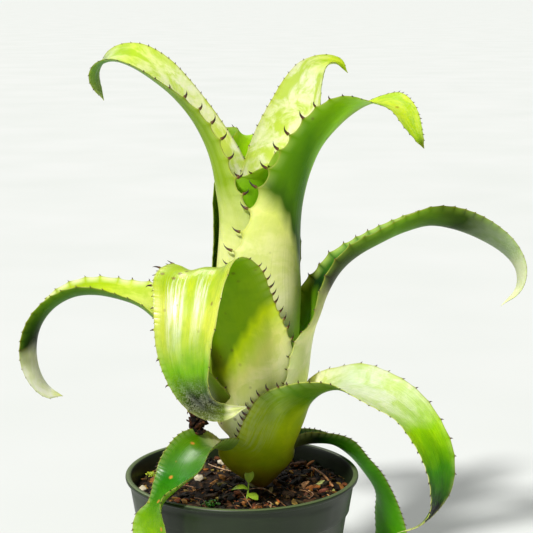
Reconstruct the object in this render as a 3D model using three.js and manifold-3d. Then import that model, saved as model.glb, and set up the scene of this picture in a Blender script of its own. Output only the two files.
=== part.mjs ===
// A bromeliad in a round green nursery pot.
// Millimetres, +Z up, origin on the axis of the pot in the plane of its base.
//
// The plant is a rosette of eleven strap leaves. Each leaf has a broad sheath
// that wraps round its neighbours at the axis and a channelled blade that
// arches away. A leaf is swept from a table of stations along its keel:
//   [x, y, z, width, half_angle, roll]
// x, y, z   keel point (mm)
// width     arc length of the cross-section from margin to margin (mm)
// half_angle  half of the angle that the cross-section arc spans (degrees)
// roll      turn of the section about the keel (degrees)
// Stations lie about 15 mm apart, from the leaf's foot to its tip.

import * as THREE from "three";
import { mergeVertices } from "three/addons/utils/BufferGeometryUtils.js";
import Module from "manifold-3d";

// ---------------------------------------------------------------- dimensions
const POT_HEIGHT = 112;          // nursery azalea pot, nominal 6 inch
const POT_RIM_RADIUS = 76;       // outside of the rolled lip
const POT_BAND_TOP_RADIUS = 73.4;
const POT_BAND_FOOT_RADIUS = 70.2;
const POT_BAND_FOOT_Z = 88;
const POT_WALL_TOP_RADIUS = 68.8;
const POT_BASE_RADIUS = 56;
const POT_WALL = 1.3;
const POT_FLOOR = 2.2;
const POT_SEGMENTS = 48;
const DRAIN_HOLES = 6;
const DRAIN_RADIUS = 4.5;
const DRAIN_CIRCLE = 42;

const SOIL_TOP = 101;            // potting mix, about 11 mm below the rim
const SOIL_GAP = 0.35;
const PLANT_AXIS = [9.4, 0];     // where the plant stands in the pot

const LEAF_THICKNESS = 1.0;
const LEAF_EDGE_THICKNESS = 0.6;
const SECTION_POINTS = 9;
const FRAME_STEPS = 6;           // finer steps used to carry the frame along
const FIT_GAP = 0.3;             // clearance left between neighbouring pieces

const LEAVES = {
  leaf_inner: { azimuth: -20, rows: [
    [13, -1.3, 138, 8.4, 60, -0],
    [18, -3.1, 152.3, 30.6, 95, 0],
    [20.8, -4.1, 167.2, 47.8, 114.4, -0],
    [22.2, -4.6, 182.4, 58.1, 126.1, 0],
    [22.9, -4.8, 197.6, 64.3, 133.2, 0],
    [23.4, -4.8, 212.8, 68, 137.4, -0],
    [24.1, -4.9, 227.9, 70.4, 140, 0],
    [24.7, -5.1, 243.1, 72.1, 141.5, -0],
    [23.3, -5.1, 259.6, 77.5, 149.8, -0.3],
    [20.7, -4.3, 276.6, 73.3, 128.1, -3],
    [19.2, -2.9, 292.4, 66.6, 103.7, -4.9],
    [21.1, -2.5, 304.8, 53.8, 75.3, -3.7],
    [23.4, -6, 313.4, 34.8, 45.8, -0.1],
    [29.1, -11.6, 318.5, 14.5, 16.6, 3.2],
  ] },
  leaf_upper_centre: { azimuth: 65, rows: [
    [12.7, 7.3, 135.7, 3.9, 57.2, -0.7],
    [15, 11.5, 149.1, 36.7, 92.4, -0.2],
    [16.3, 13.9, 163.3, 55.4, 102.6, 0],
    [17, 15.4, 177.8, 62.7, 105.3, -0],
    [17.5, 16.2, 192.4, 66.4, 106, -0],
    [17.8, 16.8, 207.1, 68.2, 106, -0],
    [18.3, 17.1, 221.7, 69.4, 106, -0],
    [18.7, 16.8, 236.3, 70.2, 106, -0],
    [18.4, 16.8, 250.9, 70.4, 106.1, 0.1],
    [18.9, 19.1, 265.3, 70.6, 99.6, -1.7],
    [21.8, 21.9, 280.4, 66.3, 88.3, -5.8],
    [26.1, 24.3, 296.3, 62.1, 77.9, -7.2],
    [30.5, 26, 313.1, 58.3, 67.6, -7],
    [35, 27.9, 329.7, 53.2, 58.2, -7.4],
    [39.2, 30.9, 345.3, 45.6, 51.2, -9.4],
    [42.8, 35.4, 359.1, 37.6, 47.4, -13.7],
    [47.4, 40.8, 369.4, 29.4, 43.6, -16.9],
    [54.4, 45.4, 374.5, 20.8, 37.9, -17.3],
    [62.3, 46.9, 374.7, 12.2, 30.4, -12.5],
    [69, 44.3, 368.5, 2.3, 21.4, -5.4],
  ] },
  leaf_back: { azimuth: 107, rows: [
    [7.3, 8.1, 123.3, 18.1, 59.1, 0.2],
    [4.7, 15.5, 136.4, 44.1, 77.5, 0.1],
    [3.1, 20.6, 150.7, 59.8, 77.2, 0.3],
    [2.3, 23.6, 165.6, 68.1, 78.1, 0.1],
    [1.9, 25.4, 180.7, 73.3, 78.9, 0],
    [1.9, 26.8, 195.9, 76.8, 78.7, 0.2],
    [1.9, 27.8, 211.2, 79.3, 78.2, 0.4],
    [2, 28.5, 226.4, 80.6, 77.7, 0.7],
    [2.2, 28.8, 241.5, 81.3, 77.8, 0.5],
    [2.7, 28.9, 256.8, 82.2, 77, 1.6],
    [2.5, 28.7, 272.3, 82.3, 80.6, 0.4],
    [3.8, 31.7, 287.3, 72.1, 69.6, -2.7],
    [6.6, 37.5, 301.1, 61.2, 60, -3.9],
    [9.9, 45.1, 312.7, 50.3, 53.4, -2.1],
    [10.6, 54, 320.8, 40.9, 47.8, -1.2],
    [6.7, 63.4, 324.7, 34.5, 41, -5],
    [0.8, 73.4, 324.6, 31.4, 37, -7.3],
    [-3.1, 83.7, 319.4, 29.1, 34.3, -6.1],
    [-4.3, 93, 309.5, 26.5, 32.1, -4.1],
    [-3.3, 100, 296.1, 22.9, 30.1, -2.2],
    [-0.9, 104.1, 280.4, 18.4, 28, -0.8],
    [2.3, 104.9, 263.3, 12.9, 25.5, 0.2],
    [6.1, 102.4, 245.2, 6.9, 22.6, 1],
  ] },
  leaf_upper_left: { azimuth: 167, rows: [
    [2.3, 1.7, 130.5, 14.7, 59.9, 0],
    [-4.5, 3.3, 144, 43.3, 87.2, 0.1],
    [-9.1, 4.2, 158.3, 63.2, 94.7, -0],
    [-11.4, 4.8, 173.2, 73, 97.2, 0],
    [-12.8, 5.2, 188.3, 80.1, 98.9, 0],
    [-13.8, 5.5, 203.4, 85.5, 100, 0],
    [-14.5, 5.7, 218.5, 88.7, 100, 0],
    [-14.9, 5.8, 233.6, 90.1, 100, 0],
    [-14.9, 5.6, 248.8, 89.6, 99.1, -0],
    [-14, 5.5, 264.3, 88, 98.4, 0.8],
    [-13.8, 6, 280, 78.8, 86.6, 3.4],
    [-15.1, 7, 295.8, 68.9, 72.9, 2.5],
    [-17.6, 6.7, 311.8, 59.4, 63.3, 3.2],
    [-23.2, 5.7, 327.8, 51.6, 57.7, 6],
    [-31.4, 4, 343.2, 45.7, 53.5, 6.3],
    [-41.9, 1.9, 357.1, 41.5, 49.3, 1.5],
    [-53.7, 0, 368.9, 38.4, 45.1, -5.7],
    [-65.9, -0.4, 377, 34.6, 42.3, -8.7],
    [-77.7, 1.3, 379.5, 28.4, 38.5, -6.5],
    [-86.9, 4.9, 375.6, 21.3, 33.6, -3.8],
    [-90.9, 10.3, 366.3, 12.8, 27.8, -0.1],
    [-87.3, 16.6, 352.4, 2.1, 20.9, 2.6],
  ] },
  leaf_upper_right: { azimuth: -25, rows: [
    [15.7, -3.6, 126.8, 18, 57.9, 0.3],
    [22.7, -6.7, 140.2, 45.4, 83, 0.2],
    [27.9, -8.6, 154.5, 68.8, 94.3, -0.1],
    [30.8, -9.8, 169.5, 80.2, 96.9, -0.2],
    [32.5, -10.5, 184.7, 85.7, 97.3, -0.1],
    [33.7, -11, 200, 89.8, 96.9, -0.2],
    [34.8, -11.3, 215.3, 93.2, 96.9, -0.2],
    [35.2, -11.5, 230.6, 94.2, 96.4, -0.4],
    [34.6, -11.6, 245.9, 94, 94.7, -0.3],
    [34.7, -11.1, 261.3, 89.8, 88.1, 1],
    [34.8, -11.1, 277.5, 74.4, 74.5, 0.5],
    [36.7, -11.1, 294.6, 61.6, 63.1, -3.1],
    [41.1, -12.1, 311.7, 50.8, 53.4, -4.5],
    [48.4, -14.4, 327.6, 44.1, 47.3, -7.2],
    [58.1, -18.4, 340.8, 40.9, 43.3, -11.6],
    [68.9, -24.7, 349.8, 37.6, 38.8, -11.2],
    [79.3, -33.1, 354.1, 33.4, 32.9, -6.1],
    [88.2, -43, 354.9, 27.4, 28.7, 1.2],
    [95.9, -52, 351.3, 19.5, 25.9, 1.3],
    [101.7, -59.5, 342.3, 12.6, 20.4, 3.4],
    [108.3, -64.8, 330.2, 1.9, 14.9, 4.1],
  ] },
  leaf_left: { azimuth: 184, rows: [
    [0.9, -0.8, 119.6, 17.7, 57.4, 0],
    [-6.4, -0.6, 132.3, 45.1, 71.8, 1.1],
    [-12.6, -1.1, 145.9, 61.8, 74.7, 0.7],
    [-18.6, -2.3, 160.3, 61.2, 66.1, -2.3],
    [-25, -4.1, 175.3, 59.3, 58.6, -6.9],
    [-32.1, -6.2, 190.3, 56.2, 51.9, -12.2],
    [-40.5, -7.8, 204.2, 52, 46.5, -17],
    [-50.3, -8.3, 216.1, 47.3, 42.9, -19.4],
    [-61.9, -7.4, 224.8, 42.1, 42.8, -15.6],
    [-75.8, -6.4, 229.3, 36.6, 41.5, -10.5],
    [-90.7, -5.6, 231.7, 35, 47.5, -7.2],
    [-105.5, -6.1, 230.1, 34, 53.9, -3.5],
    [-119, -7.2, 222.8, 33, 56.6, -0.3],
    [-128.4, -7.8, 210.5, 31.1, 54.8, 4.1],
    [-132.4, -7.6, 195.3, 28, 49.3, 8.7],
    [-130.9, -6.4, 180.6, 22.1, 41, 10.5],
    [-124.9, -4.1, 168.8, 14, 31.2, 10],
    [-115.8, 0.1, 162.9, 2.4, 21, 7.9],
  ] },
  leaf_front_left: { azimuth: -107, rows: [
    [4.5, -9.4, 115.5, 16.4, 50.2, 1.1],
    [3.8, -15.3, 129.1, 56.5, 108.3, -3.7],
    [2.2, -23, 141.8, 65.7, 73.4, 0.7],
    [-0.9, -27.4, 156, 78, 98.8, -3],
    [0.8, -31.5, 171.7, 78.5, 78.3, -1.1],
    [1, -34.6, 186.8, 75.6, 70.8, -1.4],
    [-1.7, -36.6, 201.4, 70.8, 66.8, -1.9],
    [-5.6, -38.4, 215.7, 65.6, 64.5, -2.3],
    [-9.1, -41.1, 229.3, 62.1, 61.1, -3],
    [-12.8, -46, 243.3, 59.5, 47.4, -3.9],
    [-16.9, -53.3, 254.5, 54.4, 26.2, -3.5],
    [-21.7, -62.3, 257.3, 52.2, 21.8, -2.4],
    [-25.5, -71.8, 252.9, 52.9, 28.1, -3.7],
    [-27.4, -80.3, 243.2, 48.3, 32.7, -4],
    [-28.8, -86.5, 232.1, 44.1, 28.7, -5.2],
    [-30.4, -90.2, 218.5, 38.9, 27.4, -3.9],
    [-29.5, -91.5, 204, 33, 26, -2.7],
    [-26.1, -90.7, 190.7, 25.9, 24.4, -1.6],
    [-19.8, -89, 181, 17.3, 23.6, 0.4],
    [-9.5, -87.6, 177.1, 9.9, 22.2, 0.5],
    [4.4, -86.8, 179.8, 2.2, 20.3, -0.1],
  ] },
  leaf_right: { azimuth: -3, rows: [
    [17.7, -1.5, 112.7, 18.3, 59, 0.3],
    [25.8, -1.2, 124.9, 45.2, 70.8, 1.1],
    [32.2, -1.6, 138.4, 65.1, 69.9, 1.5],
    [37.2, -2.1, 152.8, 69.4, 66.9, 0.6],
    [40.8, -3.5, 167.7, 67.2, 60.7, 3],
    [43.1, -4.8, 182.9, 64.8, 56, 4.2],
    [44.8, -4.7, 197.7, 61.8, 52.3, 4.3],
    [47, -4, 211.3, 57.3, 46, 9.6],
    [50.4, -5.4, 223.9, 52.5, 41.5, 14.7],
    [56.2, -6.9, 236, 47.7, 44.9, 6.7],
    [63.9, -7.5, 247.7, 44.7, 51.9, 1.8],
    [74.9, -7.2, 257.3, 40.6, 53.6, -3.6],
    [88.7, -5.5, 264.9, 37.6, 53.7, -2.6],
    [103.6, -2.1, 271.1, 37.6, 58.1, -4.3],
    [119.3, 2.1, 274.5, 39.5, 64.6, -6.2],
    [136, 5.7, 272, 37.6, 62.5, -10.8],
    [153.1, 7.6, 265.8, 33.3, 56.9, -12.4],
    [167.9, 7.7, 256.9, 27.1, 49.5, -10.2],
    [176.8, 6.3, 245.6, 19.2, 40.6, -5.9],
    [176.8, 4.6, 233.1, 11.2, 31.1, -2.5],
    [166.6, 3.1, 221.5, 2, 20.8, 1.2],
  ] },
  leaf_lower_back_right: { azimuth: 24, rows: [
    [17.6, 2.4, 109.1, 25.1, 57.1, 0.8],
    [25.6, 6.5, 119.2, 33.7, 58.5, -3.9],
    [35.2, 12.2, 124.8, 38.5, 59.4, -10.6],
    [48, 17.6, 125.6, 38.6, 51.9, -7.3],
    [61.3, 23.8, 122.3, 37.3, 43.8, -4.7],
    [72.8, 29.5, 113, 33.9, 33.4, 1.4],
    [83.5, 34.3, 100.5, 32.7, 27.8, 1.8],
    [92.2, 38.6, 86.4, 32.3, 25.4, 3.7],
    [97.3, 42.8, 71.5, 32.6, 22.2, 1.8],
    [99.6, 46.9, 57.2, 33.1, 21, -6.3],
    [99.5, 49.6, 43.7, 27.4, 19.4, -11.1],
    [99.2, 50.2, 31, 16.1, 19.2, -10.9],
    [99.5, 48.8, 19.1, 2.3, 19.6, -8.6],
  ] },
  leaf_lower_left: { azimuth: -138, rows: [
    [0.8, -6.1, 109.1, 23.1, 60.4, 1],
    [-6.4, -13.5, 124.6, 32.2, 60.9, 2],
    [-14.7, -22.4, 134.1, 38.6, 59.1, 3.9],
    [-23.1, -32.6, 136.9, 40.7, 54, 7.7],
    [-30.3, -43.6, 133.4, 39.9, 45.8, 13.5],
    [-35.5, -54.3, 126.5, 38.8, 34.7, 17.1],
    [-42.2, -62.9, 119.9, 35.9, 31.5, 31.5],
    [-48.5, -69.1, 113.1, 33.9, 30.1, 43.3],
    [-52, -73.4, 104.9, 33.2, 27.3, 25.1],
    [-53.2, -77.4, 93.7, 26.8, 23.2, 8.5],
    [-56, -80.1, 78.7, 15.5, 21, -2.1],
    [-61, -81.4, 59.8, 2.2, 19.4, -10.1],
  ] },
  leaf_lower_right: { azimuth: -55, rows: [
    [14.5, -8.7, 104.3, 16.4, 58.8, -0],
    [19.1, -15.3, 117.3, 77, 65, -1.3],
    [26.6, -19.8, 131.6, 71.5, 66.5, 9.6],
    [32.7, -23.4, 147.3, 69.7, 70, 9.3],
    [38.3, -27.8, 160.8, 66.5, 72.9, 12.9],
    [45.8, -32.9, 170.1, 57.3, 64, 17.5],
    [55.1, -38.7, 176.9, 49.2, 52.6, 19.8],
    [66, -45.6, 180.9, 45.2, 45.6, 24.1],
    [77.9, -53.9, 179.9, 42.1, 35.8, 29.9],
    [90.8, -62, 175.7, 39.4, 31.4, 30.3],
    [102.5, -69.5, 168, 36.5, 29, 28.6],
    [111.4, -75.9, 156.7, 33, 26.1, 26.4],
    [117, -80.8, 143.3, 30.2, 22.8, 26.6],
    [119.1, -83.2, 129.7, 24.7, 21.2, 21.5],
    [116.2, -83.2, 116.8, 16.1, 17.8, 12.4],
    [108.5, -82.3, 105.8, 8.7, 14.8, 6.1],
    [94.6, -80.3, 99.2, 1.5, 10.8, -0.3],
  ] },
};

// Order in which sheaths give way to one another: outermost is kept whole.
const NEST = [
  "leaf_lower_right", "leaf_lower_left", "leaf_lower_back_right", "leaf_right",
  "leaf_front_left", "leaf_left", "leaf_upper_right", "leaf_upper_left",
  "leaf_back", "leaf_upper_centre", "leaf_inner",
];

// Bits of composted bark lying half sunk in the mix:
// [name, x, y, length, breadth, thickness, heading, seed]
const CHIPS = [
  ["bark_chip_1", -49, -14, 15, 8, 4.5, 25, 1],
  ["bark_chip_2", -30, -42, 13, 7, 4.0, -20, 2],
  ["bark_chip_3", -10, -55, 12, 6, 4.0, 70, 3],
  ["bark_chip_4", 22, -50, 14, 7, 4.5, 10, 4],
  ["bark_chip_5", 44, -34, 12, 8, 4.0, -50, 5],
  ["bark_chip_6", 37, 9, 11, 6, 4.0, 80, 6],
  ["bark_chip_7", 38, 46, 13, 7, 4.0, 35, 7],
  ["bark_chip_8", 6, 58, 12, 8, 4.0, -10, 8],
  ["bark_chip_9", -40, 40, 14, 7, 4.5, -40, 9],
  ["bark_chip_10", -58, 14, 10, 6, 3.5, 60, 10],
  ["bark_chip_11", -20, -24, 11, 6, 3.5, 5, 11],
  ["bark_chip_12", 30, -22, 10, 6, 3.5, -35, 12],
];
// Expanded volcanic glass in the mix: [name, x, y, radius, seed]
const PERLITE = [
  ["perlite_1", -29, 15, 3.2, 21],
  ["perlite_2", -14.6, 49.8, 3.4, 22],
  ["perlite_3", -64.5, -8, 2.8, 23],
];
// Small green things on the mix: [name, x, y, radius, height, seed]
const MOSS = [
  ["moss_tuft_left", -60, 24, 4.8, 3.2, 31],
  ["moss_tuft_front", -19, -35.5, 5.2, 3.2, 32],
];
const DRIED_BASE = { x: -29, y: -14, z: 149, rx: 8.5, ry: 7, rz: 9.5, seed: 41 };
const TWIG = { from: [46.9, 36.6], to: [59.3, -5.4], radius: 0.75 };

// ------------------------------------------------------------------- helpers
const wasm = await Module();
wasm.setup();

const rad = (d) => (d * Math.PI) / 180;
const sub = (a, b) => [a[0] - b[0], a[1] - b[1], a[2] - b[2]];
const add = (a, b) => [a[0] + b[0], a[1] + b[1], a[2] + b[2]];
const mul = (a, s) => [a[0] * s, a[1] * s, a[2] * s];
const dot = (a, b) => a[0] * b[0] + a[1] * b[1] + a[2] * b[2];
const cross = (a, b) => [
  a[1] * b[2] - a[2] * b[1], a[2] * b[0] - a[0] * b[2], a[0] * b[1] - a[1] * b[0],
];
const unit = (a) => mul(a, 1 / Math.hypot(...a));

// repeatable noise in 0..1
function noise(seed) {
  let s = seed * 2654435761 % 4294967296;
  return () => {
    s = (s * 1664525 + 1013904223) % 4294967296;
    return s / 4294967296;
  };
}

function solidFrom(points, triangles) {
  const vertProperties = new Float32Array(points.flat());
  const triVerts = new Uint32Array(triangles.flat());
  let volume = 0;
  for (const [a, b, c] of triangles) volume += dot(points[a], cross(points[b], points[c]));
  if (volume < 0) {
    for (let i = 0; i < triVerts.length; i += 3) {
      const k = triVerts[i];
      triVerts[i] = triVerts[i + 1];
      triVerts[i + 1] = k;
    }
  }
  const mesh = new wasm.Mesh({ numProp: 3, vertProperties, triVerts });
  mesh.merge();
  return new wasm.Manifold(mesh);
}

function solidFromGeometry(geometry) {
  let g = geometry.clone();
  g.deleteAttribute("normal");
  g.deleteAttribute("uv");
  g = mergeVertices(g, 1e-4);
  const p = g.getAttribute("position");
  const points = [];
  for (let i = 0; i < p.count; i++) points.push([p.getX(i), p.getY(i), p.getZ(i)]);
  const triangles = [];
  for (let i = 0; i < g.index.count; i += 3) {
    const t = [g.index.getX(i), g.index.getX(i + 1), g.index.getX(i + 2)];
    if (t[0] !== t[1] && t[1] !== t[2] && t[0] !== t[2]) triangles.push(t);
  }
  return solidFrom(points, triangles);
}

function geometryFrom(solid) {
  const mesh = solid.getMesh();
  const g = new THREE.BufferGeometry();
  const n = mesh.numProp;
  const position = new Float32Array((mesh.vertProperties.length / n) * 3);
  for (let i = 0; i < position.length / 3; i++) {
    for (let k = 0; k < 3; k++) position[3 * i + k] = mesh.vertProperties[n * i + k];
  }
  g.setAttribute("position", new THREE.BufferAttribute(position, 3));
  g.setIndex(Array.from(mesh.triVerts));
  const flat = g.toNonIndexed();
  flat.computeVertexNormals();
  return flat;
}

// the biggest closed body of a solid
function mainBody(solid) {
  const bodies = solid.decompose();
  let best = bodies[0];
  for (const b of bodies) if (b.volume() > best.volume()) best = b;
  return best;
}

// ---------------------------------------------------------------- leaf sweep
function catmull(rows, u) {
  const n = rows.length;
  const v = Math.min(Math.max(u, 0), n - 1 - 1e-9);
  const i = Math.floor(v);
  const t = v - i;
  const at = (k) => {
    if (k < 0) return rows[0].map((x, c) => 2 * x - rows[1][c]);
    if (k > n - 1) return rows[n - 1].map((x, c) => 2 * x - rows[n - 2][c]);
    return rows[k];
  };
  const [p0, p1, p2, p3] = [at(i - 1), at(i), at(i + 1), at(i + 2)];
  return p1.map((_, c) => 0.5 * (2 * p1[c] + (p2[c] - p0[c]) * t
    + (2 * p0[c] - 5 * p1[c] + 4 * p2[c] - p3[c]) * t * t
    + (3 * p1[c] - p0[c] - 3 * p2[c] + p3[c]) * t * t * t));
}

function leafSections({ azimuth, rows }) {
  const count = (rows.length - 1) * FRAME_STEPS + 1;
  const all = [];
  for (let i = 0; i < count; i++) all.push(catmull(rows, i / FRAME_STEPS));
  const keel = all.map((r) => r.slice(0, 3));
  const tangent = keel.map((_, i) => unit(sub(keel[Math.min(i + 1, count - 1)], keel[Math.max(i - 1, 0)])));
  const a = rad(azimuth);
  let side = [-Math.sin(a), Math.cos(a), 0];
  side = unit(sub(side, mul(tangent[0], dot(side, tangent[0]))));
  const sections = [];
  for (let i = 0; i < count; i++) {
    if (i > 0) {
      const v1 = sub(keel[i], keel[i - 1]);
      const c1 = dot(v1, v1);
      const bl = sub(side, mul(v1, (2 / c1) * dot(v1, side)));
      const tl = sub(tangent[i - 1], mul(v1, (2 / c1) * dot(v1, tangent[i - 1])));
      const v2 = sub(tangent[i], tl);
      const c2 = dot(v2, v2);
      side = c2 > 1e-12 ? sub(bl, mul(v2, (2 / c2) * dot(v2, bl))) : bl;
      side = unit(sub(side, mul(tangent[i], dot(side, tangent[i]))));
    }
    const up = cross(tangent[i], side);
    const roll = rad(all[i][5]);
    sections.push({
      keel: keel[i],
      side: add(mul(side, Math.cos(roll)), mul(up, Math.sin(roll))),
      up: sub(mul(up, Math.cos(roll)), mul(side, Math.sin(roll))),
      width: Math.max(all[i][3], 2.4),
      half: rad(Math.min(Math.max(all[i][4], 3), 170)),
    });
  }
  return sections;
}

// closed solid of a leaf; grow adds that much clearance all round
function leafSolid(leaf, grow = 0) {
  const sections = leafSections(leaf).filter((_, i) => i % FRAME_STEPS === 0);
  const N = SECTION_POINTS;
  const points = [];
  const triangles = [];
  sections.forEach((s, i) => {
    const radius = s.width / (2 * s.half);
    const half = s.half + grow / radius;
    const thin = 1 - 0.35 * (i / (sections.length - 1));
    const ring = [[], []];
    for (let j = 0; j < N; j++) {
      const t = (2 * j) / (N - 1) - 1;
      const angle = half * t;
      const p = add(s.keel, add(mul(s.up, radius * (1 - Math.cos(angle))), mul(s.side, radius * Math.sin(angle))));
      const normal = sub(mul(s.up, Math.cos(angle)), mul(s.side, Math.sin(angle)));
      const thick = (LEAF_EDGE_THICKNESS + (LEAF_THICKNESS - LEAF_EDGE_THICKNESS) * (1 - t * t)) * thin;
      ring[0].push(add(p, mul(normal, thick / 2 + grow)));
      ring[1].push(sub(p, mul(normal, thick / 2 + grow)));
    }
    points.push(...ring[0], ...ring[1].reverse());
  });
  const R = 2 * N;
  for (let i = 0; i < sections.length - 1; i++) {
    for (let j = 0; j < R; j++) {
      const a = i * R + j;
      const b = i * R + ((j + 1) % R);
      triangles.push([a, b, b + R], [a, b + R, a + R]);
    }
  }
  const last = (sections.length - 1) * R;
  for (let j = 0; j < N - 1; j++) {
    const k = R - 1 - j;
    triangles.push([j, k, k - 1], [j, k - 1, j + 1]);
    triangles.push([last + j, last + k - 1, last + k], [last + j, last + j + 1, last + k - 1]);
  }
  return solidFrom(points, triangles);
}

// ------------------------------------------------------------ rounded lumps
function lump(cx, cy, cz, rx, ry, rz, roughness, seed, detail = 1) {
  const g = mergeVertices(new THREE.IcosahedronGeometry(1, detail).deleteAttribute("normal").deleteAttribute("uv"), 1e-4);
  const p = g.getAttribute("position");
  const r = noise(seed);
  for (let i = 0; i < p.count; i++) {
    const k = 1 + roughness * (2 * r() - 1);
    p.setXYZ(i, cx + p.getX(i) * rx * k, cy + p.getY(i) * ry * k, cz + p.getZ(i) * rz * k);
  }
  return g;
}
// a split of bark: a slab with chamfered, uneven corners
function chip(x, y, z, length, breadth, thickness, heading, seed, grow = 0) {
  const r = noise(seed);
  const pts = [];
  const n = 7;
  const c = Math.cos(rad(heading));
  const s = Math.sin(rad(heading));
  const tiltX = rad(16 * (r() - 0.5));
  const tiltY = rad(16 * (r() - 0.5));
  const radii = Array.from({ length: n }, () => 0.78 + 0.3 * r());
  for (const [level, shrink] of [[-0.5, 0.72], [-0.1, 1], [0.25, 0.96], [0.5, 0.68]]) {
    for (let i = 0; i < n; i++) {
      const a = (2 * Math.PI * i) / n;
      const px = Math.cos(a) * (length / 2) * radii[i] * shrink;
      const py = Math.sin(a) * (breadth / 2) * radii[i] * shrink;
      const m = Math.hypot(px, py);
      const gx = px * (1 + grow / m);
      const gy = py * (1 + grow / m);
      const gz = level * (thickness + 2 * grow) + gx * Math.tan(tiltX) + gy * Math.tan(tiltY);
      pts.push([x + gx * c - gy * s, y + gx * s + gy * c, z + gz]);
    }
  }
  const tris = [];
  for (let l = 0; l < 3; l++) {
    for (let i = 0; i < n; i++) {
      const a = l * n + i;
      const b = l * n + ((i + 1) % n);
      tris.push([a, b, b + n], [a, b + n, a + n]);
    }
  }
  for (let i = 1; i < n - 1; i++) {
    tris.push([0, i + 1, i], [3 * n, 3 * n + i, 3 * n + i + 1]);
  }
  return solidFrom(pts, tris);
}

function tube(points, radius, sides = 6, steps = 6) {
  const curve = new THREE.CatmullRomCurve3(points.map((p) => new THREE.Vector3(...p)));
  const shape = new THREE.Shape();
  for (let i = 0; i < sides; i++) {
    const a = (2 * Math.PI * i) / sides;
    if (i === 0) shape.moveTo(radius * Math.cos(a), radius * Math.sin(a));
    else shape.lineTo(radius * Math.cos(a), radius * Math.sin(a));
  }
  shape.closePath();
  return solidFromGeometry(new THREE.ExtrudeGeometry(shape, { steps, bevelEnabled: false, extrudePath: curve }));
}

function lathe(profile, segments) {
  const g = new THREE.LatheGeometry(profile.map(([r, z]) => new THREE.Vector2(r, z)), segments);
  g.rotateX(Math.PI / 2);          // axis to +Z
  return solidFromGeometry(g);
}

// ----------------------------------------------------------------------- pot
const rimInner = POT_BAND_TOP_RADIUS - POT_WALL;
const potProfile = [
  [0, 0], [POT_BASE_RADIUS - 1.5, 0], [POT_BASE_RADIUS, 1.5],
  [POT_WALL_TOP_RADIUS, POT_BAND_FOOT_Z - 1], [POT_BAND_FOOT_RADIUS, POT_BAND_FOOT_Z],
  [POT_BAND_TOP_RADIUS, POT_HEIGHT - 3.2], [POT_RIM_RADIUS - 0.5, POT_HEIGHT - 2.9],
  [POT_RIM_RADIUS, POT_HEIGHT - 2.2], [POT_RIM_RADIUS, POT_HEIGHT - 0.9],
  [POT_RIM_RADIUS - 0.9, POT_HEIGHT], [rimInner + 0.9, POT_HEIGHT], [rimInner + 0.1, POT_HEIGHT - 0.8],
  [POT_BAND_FOOT_RADIUS - POT_WALL, POT_BAND_FOOT_Z + 1],
  [POT_WALL_TOP_RADIUS - POT_WALL, POT_BAND_FOOT_Z - 1.5],
  [POT_BASE_RADIUS - POT_WALL + 0.1, POT_FLOOR], [0, POT_FLOOR],
];
let pot = lathe(potProfile, POT_SEGMENTS);
for (let i = 0; i < DRAIN_HOLES; i++) {
  const a = (2 * Math.PI * (i + 0.5)) / DRAIN_HOLES;
  const g = new THREE.CylinderGeometry(DRAIN_RADIUS, DRAIN_RADIUS, 12, 16);
  g.rotateX(Math.PI / 2);
  g.translate(DRAIN_CIRCLE * Math.cos(a), DRAIN_CIRCLE * Math.sin(a), 1);
  pot = pot.subtract(solidFromGeometry(g));
}

// inside radius of the pot wall at a height
function potInside(z) {
  const stops = [[POT_FLOOR, POT_BASE_RADIUS - POT_WALL], [POT_BAND_FOOT_Z - 1.5, POT_WALL_TOP_RADIUS - POT_WALL],
    [POT_BAND_FOOT_Z + 1, POT_BAND_FOOT_RADIUS - POT_WALL], [POT_HEIGHT - 1, rimInner]];
  for (let i = 0; i < stops.length - 1; i++) {
    if (z <= stops[i + 1][0]) {
      const k = (z - stops[i][0]) / (stops[i + 1][0] - stops[i][0]);
      return stops[i][1] + k * (stops[i + 1][1] - stops[i][1]);
    }
  }
  return rimInner;
}

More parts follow.
